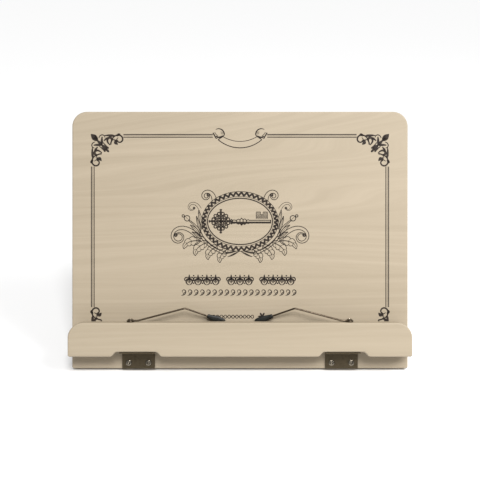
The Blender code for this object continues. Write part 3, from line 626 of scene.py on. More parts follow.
def curl(start, heading, length, bend, steps=28):
    """A path whose curvature changes evenly: the heading is the sum of the curvature so far. The heading is
    in degrees, and the bends, at the start and at the end, are in degrees for each millimetre."""
    share = (np.arange(steps) + 0.5) / steps
    turn = np.radians(heading + length * (bend[0] * share + (bend[1] - bend[0]) * share**2 / 2))
    moves = np.stack((np.cos(turn), np.sin(turn)), axis=-1) * length / steps
    return np.vstack((start, start + np.cumsum(moves, axis=0)))


def swell(count, thin, thick, peak=0.5):
    """Widths of a penman's stroke: thin at both ends and thickest at the peak."""
    share = np.linspace(0, 1, count)
    rise = np.where(share < peak, share / peak, (1 - share) / (1 - peak))
    return thin + (thick - thin) * np.sin(np.pi / 2 * rise)


def oval(centre, radii, steps=72):
    """A closed ellipse."""
    return arc((0, 0), 1.0, 0, 360, steps)[:-1] * radii + centre


# %% [markdown]
# ## The border
#
# A border frames the board: a bold line, a hairline and a medium line, side by side. It stops short of each
# corner and of the ribbon at the top, where ornaments take over. One half is drawn and mirrored.

# %% The three lines round the board
RULE_SIDE, RULE_TOP, RULE_BOTTOM = 150.4, 236.8, 29.6
RULE_GAP = 2.8
ORNAMENT = 32.4
RIBBON_HALF = 27.5

border = Print("print_border")
for offset, weight in ((0.0, 0.95), (RULE_GAP / 2, 0.35), (RULE_GAP, 0.8)):
    beside, above, below = RULE_SIDE - offset, RULE_TOP - offset, RULE_BOTTOM + offset
    for start, end in (
        ((beside, RULE_BOTTOM + ORNAMENT), (beside, RULE_TOP - ORNAMENT)),
        ((RIBBON_HALF, above), (RULE_SIDE - ORNAMENT, above)),
        ((0.0, below), (RULE_SIDE - ORNAMENT, below)),
    ):
        border.both(np.linspace(start, end, 3), weight)
border.finish()

# %% [markdown]
# ## Corner ornaments
#
# Each corner is a tight knot of leaves and curls. It is one design, drawn once along one arm, reflected in
# the corner's diagonal for the other arm, and then turned to face the four corners. A few strokes of
# changing width do more here than many thin ones.

# %% One arm and the heart of a corner
def straight(start, end, steps=6):
    """Evenly spaced points from one place to another."""
    return np.linspace(start, end, steps)


CORNER_CURLS = (
    # start, heading, length, bends, thinnest, thickest, where it is thickest, steps
    ((18.9, 10.7), 284, 33.0, (0.0, 25.0), 0.5, 1.25, 0.6, 34),
    ((18.9, 10.7), 224, 13.5, (0.5, 38.0), 0.7, 1.9, 0.85, 24),
    ((20.0, 10.3), 262, 7.5, (6.0, 20.0), 0.5, 0.9, 0.5, 12),
    ((25.8, 1.8), 300, 4.2, (10.0, 34.0), 0.8, 2.1, 0.6, 12),
    ((22.6, 5.9), -6, 5.4, (8.0, 12.0), 0.3, 1.7, 0.5, 10),
    ((23.0, 7.0), 38, 5.0, (4.0, -6.0), 0.3, 2.6, 0.35, 10),
    ((12.6, 1.3), -14, 11.6, (5.0, -3.0), 0.4, 1.9, 0.72, 16),
    ((12.7, 6.4), -48, 5.6, (4.0, 4.0), 0.7, 1.6, 0.6, 10),
    ((10.7, 10.6), 270, 8.4, (-2.0, 5.0), 0.7, 1.9, 0.4, 12),
    ((7.6, 3.6), -80, 9.2, (12.0, 26.0), 0.6, 0.8, 0.5, 16),
    ((12.0, 8.0), 62, 7.0, (-6.0, -2.0), 0.5, 0.9, 0.5, 10),
    ((14.2, 13.2), 4, 3.6, (3.0, 3.0), 0.6, 1.8, 0.6, 8),
    ((6.6, 5.0), 210, 5.6, (-10.0, -6.0), 0.8, 1.9, 0.4, 10),
)
CORNER_LEAVES = (
    # start and end on the diagonal, thinnest, thickest, where it is thickest
    (-0.4, 6.8, 0.4, 4.4, 0.5),
    (6.2, 11.2, 1.2, 2.2, 0.5),
    (11.0, 15.4, 1.4, 3.0, 0.5),
    (14.6, 17.8, 0.6, 1.9, 0.55),
)


def corner_arm():
    """Paths and widths of one arm, as (along the rule, inwards) from the rule's outer corner."""
    strokes = []
    for start, heading, length, bend, thin, thick, peak, steps in CORNER_CURLS:
        path = curl(start, heading, length, bend, steps)
        strokes.append((path, swell(len(path), thin, thick, peak)))
    return strokes


def corner_heart():
    """What lies on the diagonal: a broad leaf that points to the corner, and three smaller ones behind it."""
    strokes = []
    for start, end, thin, thick, peak in CORNER_LEAVES:
        path = straight((start, start), (end, end), 14)
        strokes.append((path, swell(len(path), thin, thick, peak)))
    return strokes


# %% Four corners
corner = Print("print_corners", 1.3)
for sign in (-1, 1):
    for corner_u, inwards in ((RULE_TOP, -1), (RULE_BOTTOM, 1)):
        origin = np.array((sign * RULE_SIDE, corner_u))
        facing = np.array((-sign, inwards))
        for path, weight in corner_arm():
            corner.stroke(origin + path * facing, weight)
            corner.stroke(origin + path[:, ::-1] * facing, weight)
        for path, weight in corner_heart():
            corner.stroke(origin + path * facing, weight)
corner.finish()

# %% [markdown]
# ## The blank ribbon
#
# At the top the border gives way to a small hanging ribbon, left blank here. The two edges of its band are
# arcs of nearly the same radius, its rolled ends are curls, and short lines shade the folds.

# %% The ribbon
ribbon = Print("print_ribbon", 1.1)
ribbon.stroke(arc((0.0, 256.9), 33.6, 229, 311, 48), 0.85)
ribbon.stroke(arc((0.0, 262.8), 33.0, 238.5, 301.5, 40), 0.6)
ribbon.both(straight((22.1, 231.6), (17.3, 234.8)), 0.75)
roll_top = curl((16.1, 235.4), 104, 13.6, (-9.5, -10.5))
ribbon.both(roll_top, swell(len(roll_top), 0.5, 1.2, 0.2))
ribbon.both(straight((27.4, 238.6), (24.0, 232.7)), 1.15)
ribbon.both(straight((24.0, 232.7), (22.4, 233.6)), 0.6)
roll_inner = curl((16.4, 235.7), -34, 8.6, (2, 18))
ribbon.both(roll_inner, swell(len(roll_inner), 0.8, 1.7, 0.3))
roll_edge = curl((22.4, 235.2), 40, 5.0, (2, 8))
ribbon.both(roll_edge, 0.6)
for step in range(3):
    shade_foot = (17.2 + 0.9 * step, 236.6 + 0.2 * step)
    shade_top = (17.5 + 0.9 * step, 239.6 + 0.3 * step)
    ribbon.both(straight(shade_foot, shade_top), 0.3)
ribbon.finish()

# %% [markdown]
# ## The medallion
#
# In the middle of the board is an oval frame of twisted rope. It is drawn as three oval rules, and between
# them one bold line that swings out and in again for each strand. The swing is a sine passed through an
# arcsine, so that it turns sharply at both ends, as the edge of a strand does.

# %% Rope frame
MEDAL = np.array((0.0, 148.8))
medallion = Print("print_medallion", 1.15)
for radii, weight in (((38.7, 30.2), 0.55), ((32.9, 23.4), 1.0), ((34.5, 25.2), 0.4)):
    medallion.stroke(oval(MEDAL, radii, 120), weight, closed=True)
STRANDS = 42
STEPS_PER_STRAND = 12
turn = np.linspace(0, 2 * np.pi, STRANDS * STEPS_PER_STRAND, endpoint=False)
wave = np.arcsin(0.97 * np.sin(STRANDS * turn)) / (np.pi / 2)
reach = np.stack((36.6 + 1.7 * wave, 27.8 + 1.9 * wave), axis=-1)
medallion.stroke(MEDAL + reach * np.stack((np.cos(turn), np.sin(turn)), axis=-1), 1.7, closed=True)

# %% [markdown]
# ## The key
#
# Inside the frame lies an old key of this notebook's own design. Its bow is tracery: two rings of small
# circles round a hub, with a finial on each side. Its shaft is turned, so its outline is a straight line
# plus one bell-shaped swelling for each knob, and its bit is a hatched block with a slot.

# %% The bow
BOW = MEDAL + (-19.4, 0.2)
for petal in range(12):
    direction = np.radians(30 * petal + 15)
    outer_ring = BOW + 7.7 * np.array((np.cos(direction), np.sin(direction)))
    medallion.stroke(oval(outer_ring, (1.5, 1.5), 16), 1.0, closed=True)
for petal in range(8):
    direction = np.radians(45 * petal + 22.5)
    inner_ring = BOW + 4.3 * np.array((np.cos(direction), np.sin(direction)))
    medallion.stroke(oval(inner_ring, (1.25, 1.25), 14), 0.95, closed=True)
    medallion.stroke(straight(BOW, BOW + (inner_ring - BOW) * 2.1), 0.6)
medallion.stroke(oval(BOW, (1.2, 1.2), 14), 1.5, closed=True)
medallion.stroke(oval(BOW, (6.1, 6.1), 40), 0.5, closed=True)
for direction in (0, 90, 180, 270):
    finial = curl(BOW, direction, 12.4, (0, 0), 30)
    share = np.linspace(0, 1, len(finial))
    knobs = 1.9 * np.exp(-(((share - 0.93) / 0.05) ** 2)) + 1.5 * np.exp(-(((share - 0.78) / 0.05) ** 2))
    medallion.stroke(finial, 0.8 + knobs)

# %% The shaft
SHAFT_START, SHAFT_END = -9.6, 31.0
SHAFT_U = MEDAL[1] - 0.2
SHAFT_HALF = 1.35
KNOBS = (
    # place, height, width
    (-8.6, 1.0, 0.7),
    (-6.0, 0.5, 0.6),
    (-1.6, 1.1, 1.3),
    (1.6, 2.2, 1.0),
    (4.6, 1.4, 1.3),
    (8.2, 0.6, 0.7),
)
shaft_x = np.linspace(SHAFT_START, SHAFT_END, 120)
swellings = [tall * np.exp(-(((shaft_x - place) / wide) ** 2)) for place, tall, wide in KNOBS]
shaft_half = SHAFT_HALF + np.sum(swellings, axis=0)
for sign, weight in ((1, 0.7), (-1, 0.95)):
    medallion.stroke(np.column_stack((shaft_x, SHAFT_U + sign * shaft_half)), weight)
medallion.stroke(np.column_stack((shaft_x, SHAFT_U - 0.45 * shaft_half)), 0.75 * shaft_half)
for collar in (-3.4, 0.0, 3.2, 6.6):
    half_here = np.interp(collar, shaft_x, shaft_half)
    medallion.stroke(straight((collar, SHAFT_U - half_here), (collar, SHAFT_U + half_here)), 0.8)
medallion.stroke(straight((SHAFT_END, SHAFT_U - 1.8), (SHAFT_END, SHAFT_U + 1.8)), 0.9)

# %% The bit
BIT_LEFT, BIT_RIGHT, BIT_LOW, BIT_HIGH = 16.4, 27.8, 151.3, 158.4
SLOT_LEFT, SLOT_RIGHT, SLOT_FLOOR = 20.8, 23.4, 155.6
HATCH_PITCH = 0.9
bit_corners = (
    (BIT_LEFT, BIT_LOW),
    (BIT_LEFT, BIT_HIGH),
    (SLOT_LEFT, BIT_HIGH),
    (SLOT_LEFT, SLOT_FLOOR),
    (SLOT_RIGHT, SLOT_FLOOR),
    (SLOT_RIGHT, BIT_HIGH),
    (BIT_RIGHT, BIT_HIGH),
    (BIT_RIGHT, BIT_LOW),
)
for first, second in zip(bit_corners, bit_corners[1:]):
    medallion.stroke(straight(first, second, 3), 0.5)
for hatch in np.arange(BIT_LEFT + 0.8, BIT_RIGHT, HATCH_PITCH):
    top = SLOT_FLOOR if SLOT_LEFT < hatch < SLOT_RIGHT else BIT_HIGH
    medallion.stroke(straight((hatch, BIT_LOW), (hatch, top), 3), 0.36)
for hatch in (152.6, 154.2):
    medallion.stroke(straight((BIT_LEFT, hatch), (BIT_RIGHT, hatch), 3), 0.3)
medallion.finish()

# %% [markdown]
# ## Scrolls round the medallion
#
# Scrolls, slim leaves and a bud grow from both sides of the frame. They are drawn for the right side and
# mirrored. A scroll is open line work: the two edges of a band that follows a curl and tapers, with a ball
# at its end. The same band with a swelling width is a slim leaf.

# %% Bands and balls
foliage = Print("print_foliage", 1.15)


def directions(path):
    """Unit vectors along an open path and to its left."""
    ahead = np.gradient(path, axis=0)
    ahead /= np.linalg.norm(ahead, axis=1, keepdims=True)
    return ahead, np.stack((-ahead[:, 1], ahead[:, 0]), axis=-1)


def outlined(path, gap, weight):
    """The two edges of a band that follows a path: the path moved by half the gap to either side."""
    half = np.asarray(gap)[:, None] / 2 * directions(path)[1]
    foliage.both(path + half, weight)
    foliage.both(path - half, weight)


def ball(centre, radius, weight=0.6):
    """A small ring on each side, or a dot where the weight fills it."""
    foliage.both(oval(centre, (radius, radius), 16), weight, closed=True)


# %% Scrolls and buds
top_curl = curl(MEDAL + (26.0, 21.0), 84, 30, (-2.0, -24), 36)
outlined(top_curl, np.linspace(4.6, 1.2, len(top_curl)), 0.65)
ball(top_curl[-1], 1.1, 1.3)

side_curl = curl(MEDAL + (40.5, 12.5), 64, 24, (-2.0, -25))
outlined(side_curl, np.linspace(3.0, 0.8, len(side_curl)), 0.42)
ball(side_curl[-1], 0.8, 0.9)

stem = curl(MEDAL + (39.0, -14.0), 70, 20, (-2.5, -1.0))
outlined(stem, np.linspace(2.2, 1.0, len(stem)), 0.6)
bud = stem[-1] + (1.9, 2.1)
ball(bud, 2.8, 0.75)
ball(bud + (3.9, 2.4), 1.2, 0.8)
foliage.both(straight(bud + (-1.6, -1.6), bud + (1.4, 1.4)), 0.3)

SLIM_LEAVES = (
    # start, heading, length, bends, greatest width
    ((38.6, -8.0), 98, 20, (-4.0, 3.0), 3.0),
    ((39.8, -12.0), 84, 18, (-2.0, 1.5), 2.4),
    ((39.0, -16.0), 50, 17, (1.5, -4.0), 3.2),
    ((38.0, -18.0), 30, 13, (4.0, -6.0), 2.4),
)
for start, heading, length, bend, width in SLIM_LEAVES:
    leaf = curl(MEDAL + start, heading, length, bend, 18)
    outlined(leaf, swell(len(leaf), 0.2, width), 0.6)
    foliage.both(leaf[2:-2], 0.35)

big_scroll = curl(MEDAL + (38.0, -18.5), 33, 66, (1.9, -15.6), 60)
outlined(big_scroll, np.linspace(5.0, 1.0, len(big_scroll)), 0.65)
ball(big_scroll[-1], 1.2, 1.3)

# %% [markdown]
# ## Leaves under the frame
#
# A garland of lobed leaves hangs under the frame. Each follows a curl for its middle vein. Its half width
# is a smooth hump times a row of round scallops, and small veins run out from the middle one to the
# scallops.

# %% Leaves with scalloped edges
SCALLOPS = 4


def scalloped_leaf(start, heading, length, bend, width):
    """The hump is a sine over the leaf's length, drawn towards its tip, and the scallops are the size of a
    faster sine, to the power of a half, which makes them round with sharp valleys between."""
    spine = curl(start, heading, length, bend, 60)
    ahead, across = directions(spine)
    share = np.linspace(0, 1, len(spine))
    hump = np.sin(np.pi * share**0.75) ** 0.8
    edge = width / 2 * hump * (0.62 + 0.38 * np.abs(np.sin(np.pi * SCALLOPS * share)) ** 0.5)
    foliage.both(spine + edge[:, None] * across, 0.6)
    foliage.both(spine - edge[:, None] * across, 0.6)
    foliage.both(spine[:-6], swell(len(spine) - 6, 0.3, 0.8, 0.2))
    for vein in range(1, SCALLOPS):
        at = int(len(spine) * (vein - 0.35) / SCALLOPS)
        for sign in (-1, 1):
            tip = spine[at] + (across[at] * sign * 0.72 + ahead[at] * 0.5) * edge[at + 6]
            foliage.both(straight(spine[at], tip, 4), 0.35)


GARLAND = (
    # start, heading, length, bends, width
    ((40.0, -19.0), -8, 21, (2.0, -10.0), 9.0),
    ((33.0, -21.0), -26, 20, (1.0, -9.0), 9.5),
    ((23.0, -25.0), -30, 18, (0.0, -9.0), 9.0),
    ((12.5, -28.0), -36, 17, (0.0, -9.0), 8.5),
)
for start, heading, length, bend, width in GARLAND:
    scalloped_leaf(MEDAL + start, heading, length, bend, width)
for start, heading, length, weight in (((1.0, -30.5), -24, 13, 1.5), ((3.0, -30.0), -8, 14, 1.6)):
    leaf = curl(MEDAL + start, heading, length, (-2, 4), 14)
    foliage.both(leaf, swell(len(leaf), 0.3, weight))
lower_arc = arc((0, 0), 1.0, -20, -72, 39)
for radii, thin, thick in (((42.0, 33.0), 0.4, 1.3), ((44.5, 35.5), 0.3, 0.7)):
    foliage.both(MEDAL + radii * lower_arc, swell(len(lower_arc), thin, thick))
foliage.finish()

# %% [markdown]
# ## The ornamental lines under the medallion
#
# Three friezes, with no lettering: groups of upright fleurons, a running scroll below them, and a short
# row of beads with a rosette. Each is one motif repeated along a line, so a loop places it at an even
# pitch.

# %% Fleurons
frieze = Print("print_friezes")


def fleuron(centre, tall):
    """An upright bud, with two large curls that rise from its foot and two small ones that fall from it."""
    bud = straight((0, -0.36 * tall), (0, tall / 2), 16)
    frieze.stroke(centre + bud, swell(len(bud), 0.4, 1.9, 0.65))
    for sign in (-1, 1):
        rising = curl((0, -tall / 2), 14, 14.5, (11, 33), 26) * (sign, 1)
        frieze.stroke(centre + rising, swell(len(rising), 0.5, 1.5, 0.4))
        falling = curl((0.3, 0.16 * tall), 38, 9.5, (-14, -42), 20) * (sign, 1)
        frieze.stroke(centre + falling, swell(len(falling), 0.4, 1.2, 0.4))


FLEURON_U, FLEURON_TALL, FLEURON_PITCH = 89.8, 10.6, 8.9
FLEURON_DOTS = (-3.6, 4.0)
for middle, count in ((-38.0, 4), (0.0, 3), (38.0, 4)):
    for number in range(count):
        fleuron(np.array((middle + FLEURON_PITCH * (number - (count - 1) / 2), FLEURON_U)), FLEURON_TALL)
    for number in range(count - 1):
        gap = np.array((middle + FLEURON_PITCH * (number - (count - 2) / 2), FLEURON_U))
        for height in FLEURON_DOTS:
            frieze.stroke(oval(gap + (0, height), (0.4, 0.4), 10), 0.8, closed=True)

# %% The running scroll, the beads and the rosette
SCROLL_U, SCROLL_PITCH, SCROLLS = 75.6, 6.2, 19
for number in range(SCROLLS):
    centre = np.array((SCROLL_PITCH * (number - (SCROLLS - 1) / 2), SCROLL_U))
    crest = curl(centre + (-3.6, -1.9), 12, 13.5, (2, 46), 24)
    frieze.stroke(crest, swell(len(crest), 0.35, 1.05, 0.35))
    frond = curl(centre + (-2.2, -1.2), 66, 4.2, (-10, -8), 10)
    frieze.stroke(frond, swell(len(frond), 0.25, 0.8, 0.5))

BEAD_U, BEAD_START, BEAD_END, BEADS = 52.4, -30.5, 12.5, 12
bead_middles = straight((BEAD_START, BEAD_U), (BEAD_END, BEAD_U), BEADS)
for centre in bead_middles:
    frieze.stroke(oval(centre, (1.35, 1.6), 16), 0.75, closed=True)
for centre in bead_middles[:-1]:
    frieze.stroke(oval(centre + (1.95, 0), (0.35, 0.35), 8), 0.6, closed=True)
ROSETTE = np.array((22.5, BEAD_U + 0.2))
for petal in range(6):
    leaf = curl(ROSETTE, 60 * petal, 4.4, (0, 0), 10)
    frieze.stroke(leaf, swell(len(leaf), 0.4, 1.9, 0.6))
frieze.finish()

# %% [markdown]
# ## Sheet metal and other pieces that keep their shape
#
# The hinge leaves, the bracket, the stay and the rail are right as they are, but real sheet metal has
# softened edges that catch the light. A copy of each is welded, its flat triangles are joined again, and a
# Bevel modifier rounds every sharp edge.

# %% Copies with softened edges
SHEET_EDGE, THICK_EDGE = 0.12 * MM, 0.2 * MM
PIN_EDGE, RUNG_EDGE = 0.25 * MM, 0.3 * MM
WELD_COPY = 2e-6
FLAT_ANGLE, BEVEL_ANGLE, COPY_CREASE = 1.0, 40.0, 32.0


def softened(node, name, material, width):
    """A welded copy of a node of the working model with rounded edges of the given width."""
    mesh = frame["nodes"][node].data.copy()
    shell = bmesh.new()
    shell.from_mesh(mesh)
    bmesh.ops.remove_doubles(shell, verts=shell.verts, dist=WELD_COPY)
    flat = np.radians(FLAT_ANGLE)
    bmesh.ops.dissolve_limit(shell, angle_limit=flat, verts=shell.verts, edges=shell.edges)
    shell.to_mesh(mesh)
    shell.free()
    piece = finish_piece(name, mesh, material, BODY_OF[node], node, COPY_CREASE)
    bevel = piece.modifiers.new("softened edges", "BEVEL")
    bevel.width = width
    bevel.segments = 2
    bevel.limit_method = "ANGLE"
    bevel.angle_limit = np.radians(BEVEL_ANGLE)
    bevel.harden_normals = True
    return piece


softened_pieces = [
    ("notched_rail", "rail", RAIL_PLASTIC, THICK_EDGE),
    ("stay_bracket", "bracket", NICKEL_SHEET, THICK_EDGE),
    ("stay", "stay_strip", NICKEL_SHEET, THICK_EDGE),
    ("stay_pin", "stay_rivet", SCREW_STEEL, PIN_EDGE),
    ("leg_crossbar", "leg_rung", ZINC_STEEL, RUNG_EDGE),
]
for side in SIDES:
    softened_pieces += [
        (f"hinge_{side}_board_leaf", f"hinge_{side}_plate", HINGE_BRONZE, SHEET_EDGE),
        (f"hinge_{side}_ledge_leaf", f"hinge_{side}_flap", HINGE_BRONZE, SHEET_EDGE),
        (f"hinge_{side}_pin", f"hinge_{side}_rivet", SCREW_STEEL, SHEET_EDGE),
    ]
for node, name, material, edge_width in softened_pieces:
    softened(node, name, material, edge_width)
print("softened pieces:", len(softened_pieces))

# %% [markdown]
# ## Cross-head screws
#
# The hinges have countersunk screws and everything else has pan heads, all with a cross recess. A head is
# a square grid bent onto a disc, so that grid lines run along the arms of the cross, with pairs of lines
# at the arms' edges for steep walls. Rings below it make the rim, the cone or flat underside, the shank
# and the point. Each screw stops at its own angle, as screws do.

# %% One screw
# The recess and the grid lines are given as shares of the head's radius.
RECESS_HALF = 0.15
RECESS_REACH = 0.62
RECESS_DEPTH = 0.55
RECESS_TAPER = 0.7
SIDE_WALL, END_WALL = 0.035, 0.05
HEAD_CREASE = 40.0


def head_lines():
    """Grid lines across a head from -1 to 1, doubled where the recess has its walls."""
    half = [0.0, RECESS_HALF, RECESS_HALF + SIDE_WALL, 0.27, 0.4, RECESS_REACH - END_WALL, RECESS_REACH]
    half += [0.7, 0.82, 0.92, 1.0]
    return np.array([-value for value in half[:0:-1]] + half)


def make_screw(node, name, out, up, dome, under):
    """A screw at a node's place. out points out of the head and up across it, dome is the head's own height
    as a share of its radius, and under lists the rings below the rim as (radius, depth) in metres. The square
    becomes a disc by x = s times the root of 1 less half of t squared, and y the other way about. The crown
    is an arc of a circle, and the recess is a cross that gets shallower towards the ends of its arms."""
    points = corners_of(node)
    out, up = np.asarray(out, dtype=float), np.asarray(up, dtype=float)
    right = np.cross(up, out)
    across, along, outwards = points @ right, points @ up, points @ out
    centre_x, centre_y = (across.min() + across.max()) / 2, (along.min() + along.max()) / 2
    radius, top = (across.max() - across.min()) / 2, outwards.max()

    lines = head_lines()
    s, t = np.meshgrid(lines, lines, indexing="ij")
    disc_x, disc_y = s * np.sqrt(1 - t**2 / 2), t * np.sqrt(1 - s**2 / 2)
    radius = min(radius, under[0][0])
    ring = np.hypot(disc_x, disc_y).clip(0, 1)
    crown = -dome * radius * (1 - np.sqrt(1 - 0.94 * ring**2))
    far, near = np.maximum(np.abs(s), np.abs(t)), np.minimum(np.abs(s), np.abs(t))
    tiny = 0.001
    inside = (near <= RECESS_HALF + tiny) & (far <= RECESS_REACH - END_WALL + tiny)
    depth = RECESS_DEPTH * radius * (1 - RECESS_TAPER * far / RECESS_REACH)
    height = crown - np.where(inside, depth, 0.0)
    head = np.stack((disc_x * radius, disc_y * radius, height), axis=-1)

    size = len(lines)
    numbers = np.arange(size * size).reshape(size, size)
    loop = np.concatenate((numbers[:-1, 0], numbers[-1, :-1], numbers[:0:-1, -1], numbers[0, :0:-1]))
    rim = head.reshape(-1, 3)[loop]
    direction = rim[:, :2] / np.linalg.norm(rim[:, :2], axis=1, keepdims=True)
    rings = [np.column_stack((direction * reach, np.full(len(loop), -deep))) for reach, deep in under]
    faces = grid_faces(size, size).tolist()
    previous, count = loop, size * size
    for _ in rings:
        current = np.arange(count, count + len(loop))
        quads = np.stack((previous, current, np.roll(current, -1), np.roll(previous, -1)), axis=-1)
        faces += quads.tolist()
        previous, count = current, count + len(loop)
    local = np.vstack([head.reshape(-1, 3)] + rings)
    world = (centre_x + local[:, :1]) * right + (centre_y + local[:, 1:2]) * up + (top + local[:, 2:]) * out
    return new_piece(name, world, faces, SCREW_STEEL, BODY_OF[node], node, HEAD_CREASE)


# %% All screws
SHANK, TIP = 1.4, 0.001
HINGE_HEAD, PAN_HEAD = 3.1, 3.0
FLAT_DOME, PAN_DOME = 0.16, 0.55
HINGE_RINGS = ((0.9 * HINGE_HEAD, 0.55), (0.88 * HINGE_HEAD, 0.75), (SHANK, 2.0), (SHANK, 6.0), (TIP, 7.6))
PAN_RINGS = ((PAN_HEAD, 0.95), (0.97 * PAN_HEAD, 1.35), (SHANK, 1.38), (SHANK, 7.2), (TIP, 9.0))
countersunk, pan = np.array(HINGE_RINGS) * MM, np.array(PAN_RINGS) * MM


def turned_by(angle, start):
    """The start direction turned towards the right by an angle in degrees."""
    return np.cos(np.radians(angle)) * start + np.sin(np.radians(angle)) * ACROSS


for side, first_angle in zip(SIDES, (31, 57)):
    for number in (1, 2):
        angle, label = first_angle + 24 * number, f"{side}_{number}"
        plate_up, flap_up = turned_by(angle, UP), turned_by(angle, OUT)
        on_board, on_ledge = f"hinge_{side}_board_screw_{number}", f"hinge_{side}_ledge_screw_{number}"
        make_screw(on_board, f"plate_screw_{label}", OUT, plate_up, FLAT_DOME, countersunk)
        make_screw(on_ledge, f"flap_screw_{label}", -UP, flap_up, FLAT_DOME, countersunk)
    make_screw(f"clip_{side}_screw", f"page_clip_screw_{side}", UP, OUT, PAN_DOME, pan)
for holder, fixing, count, angle in (("rail", "rail_fixing", 4, 37), ("bracket", "bracket_fixing", 2, 29)):
    for number in range(1, count + 1):
        across_head = turned_by(angle * number, UP)
        make_screw(f"{holder}_screw_{number}", f"{fixing}_{number}", -OUT, across_head, PAN_DOME, pan)

# %% [markdown]
# ## Page clips
#
# A clip is one spring wire: an eye round its screw, a level run, a long slope up to a peak, and a slope down
# into its boot. The eye's middle is the axis of the clip's joint, so the wire is laid out from there as
# (along the ledge, towards the board, up), and swept with a round section. A curve object with a bevel would
# also do, but the swept grid closes its own ends with half balls.

# %% The wire's path
WIRE_RADIUS = 0.9 * MM
EYE_RADIUS = 3.0 * MM
EYE_TURN = 330
LEAVES_EYE, FIRST_BEND, PEAK = (1.0, 3.0, 0.0), (7.0, 3.0, 0.0), (54.0, 3.0, 12.3)
ENTERS_BOOT, WIRE_END = (76.2, 8.0, 4.1), (84.0, 9.0, 1.4)
CLIP_CORNERS = np.array((LEAVES_EYE, FIRST_BEND, PEAK, ENTERS_BOOT, WIRE_END)) * MM
CLIP_BENDS = np.array((0.0, 12.0, 4.0, 8.0, 0.0)) * MM


def from_clip(points, side):
    """World coordinates of (along, towards the board, up) from the eye's middle. Along points to the stand's
    middle, so it is the other way on the right clip."""
    middle = to_board(JOINTS[f"clip_{side}_rise"]["pos_m"])
    sign = 1.0 if side == "left" else -1.0
    return to_world(middle + np.stack((sign * points[..., 0], points[..., 2], -points[..., 1]), axis=-1))


eye = np.pad(arc((0.0, 0.0), EYE_RADIUS, 90 + EYE_TURN, 90, 39), ((0, 0), (0, 1)))
arm = rounded(CLIP_CORNERS, CLIP_BENDS, step=3.0)
clip_path, clip_radius = round_ends(np.vstack((eye, arm)), WIRE_RADIUS)
for side in SIDES:
    rows = tube_rows(from_clip(clip_path, side), clip_radius, UP, sides=18)
    faces = grid_faces(*rows.shape[:2], close_columns=True)
    new_piece(f"page_clip_{side}", rows, faces, CLIP_STEEL, f"clip_{side}", f"clip_{side}_wire")
print("clip wire mm:", round(np.linalg.norm(np.diff(clip_path, axis=0), axis=1).sum() / MM, 1))

# %% [markdown]
# ## Rubber boots
#
# The boots are dipped or moulded black rubber and keep the wire from marking the pages. Each is a leaf:
# its section is a rounded oval whose width and thickness follow a smooth profile from the collar, where
# the wire enters, to a blunt tip. Its lower edge is flattened where it lies along the ledge, by a soft
# limit on how far down a point may lie.

# %% Boots
BOOT_LENGTH = 19.0 * MM
BOOT_FLOOR = -0.85 * MM
FLOOR_SOFTNESS = 0.25 * MM
BOOT_STATIONS, BOOT_SIDES = 44, 36
BOOT_CREASE = 50.0
BOOT_SHARES = np.array((0.0, 0.03, 0.13, 0.2, 0.5, 0.8, 0.93, 1.0))
BOOT_WIDTHS = np.array((3.4, 4.4, 4.5, 4.8, 6.7, 6.2, 5.2, 2.6)) * MM
BOOT_DEPTHS = np.array((3.2, 3.6, 3.5, 3.3, 3.1, 2.8, 2.2, 0.9)) * MM


def smooth_profile(shares, values, where):
    """Values between given ones: straight lines between them, evened out by a short running mean."""
    fine = np.linspace(0, 1, 241)
    weights = np.hanning(17)
    padded = np.pad(np.interp(fine, shares, values), len(weights) // 2, mode="edge")
    return np.interp(where, fine, np.convolve(padded, weights / weights.sum(), mode="valid"))


def squared(wave):
    """A sine or cosine with fuller shoulders, which makes a circle a little square."""
    return np.sign(wave) * np.abs(wave) ** 0.85


entry, wire_end = CLIP_CORNERS[-2:]
axis = (wire_end - entry) / np.linalg.norm(wire_end - entry)
thin = np.array((0.0, 1.0, 0.0)) - axis * axis[1]
thin /= np.linalg.norm(thin)
wide = np.cross(axis, thin)

# %% The boot's surface
# Stations lie closer together at both ends. A point is the middle line, plus half the width times the
# squared cosine, plus half the thickness times the squared sine.
share = (1 - np.cos(np.pi * np.linspace(0, 1, BOOT_STATIONS))) / 2
turn = np.linspace(0, 2 * np.pi, BOOT_SIDES, endpoint=False)[None, :, None]
half_width = smooth_profile(BOOT_SHARES, BOOT_WIDTHS, share)[:, None, None] / 2
half_depth = smooth_profile(BOOT_SHARES, BOOT_DEPTHS, share)[:, None, None] / 2
middle_line = entry + axis * (share * BOOT_LENGTH)[:, None]
across_boot = wide * half_width * squared(np.cos(turn))
through_boot = thin * half_depth * squared(np.sin(turn))
boot = middle_line[:, None] + across_boot + through_boot
above_floor = (boot[..., 2] - BOOT_FLOOR) / FLOOR_SOFTNESS
boot[..., 2] = BOOT_FLOOR + FLOOR_SOFTNESS * np.logaddexp(0, above_floor)
caps = [np.repeat(boot[end].mean(axis=0)[None, None], BOOT_SIDES, axis=1) for end in (0, -1)]
boot = np.concatenate((caps[0], boot, caps[1]))
faces = grid_faces(*boot.shape[:2], close_columns=True)
for side in SIDES:
    body, placed = f"clip_{side}", from_clip(boot, side)
    new_piece(f"page_boot_{side}", placed, faces, BOOT_RUBBER, body, f"{body}_boot", BOOT_CREASE)
print("boot mm:", np.round(np.ptp(boot.reshape(-1, 3), axis=0) / MM, 1))

# %% [markdown]
# ## The wire leg
#
# The leg is one closed loop of bright zinc-plated wire, a trapezium with rounded corners, so it is the same
# sweep along another path. Its plane runs through the rung and the feet, whose places are measured.

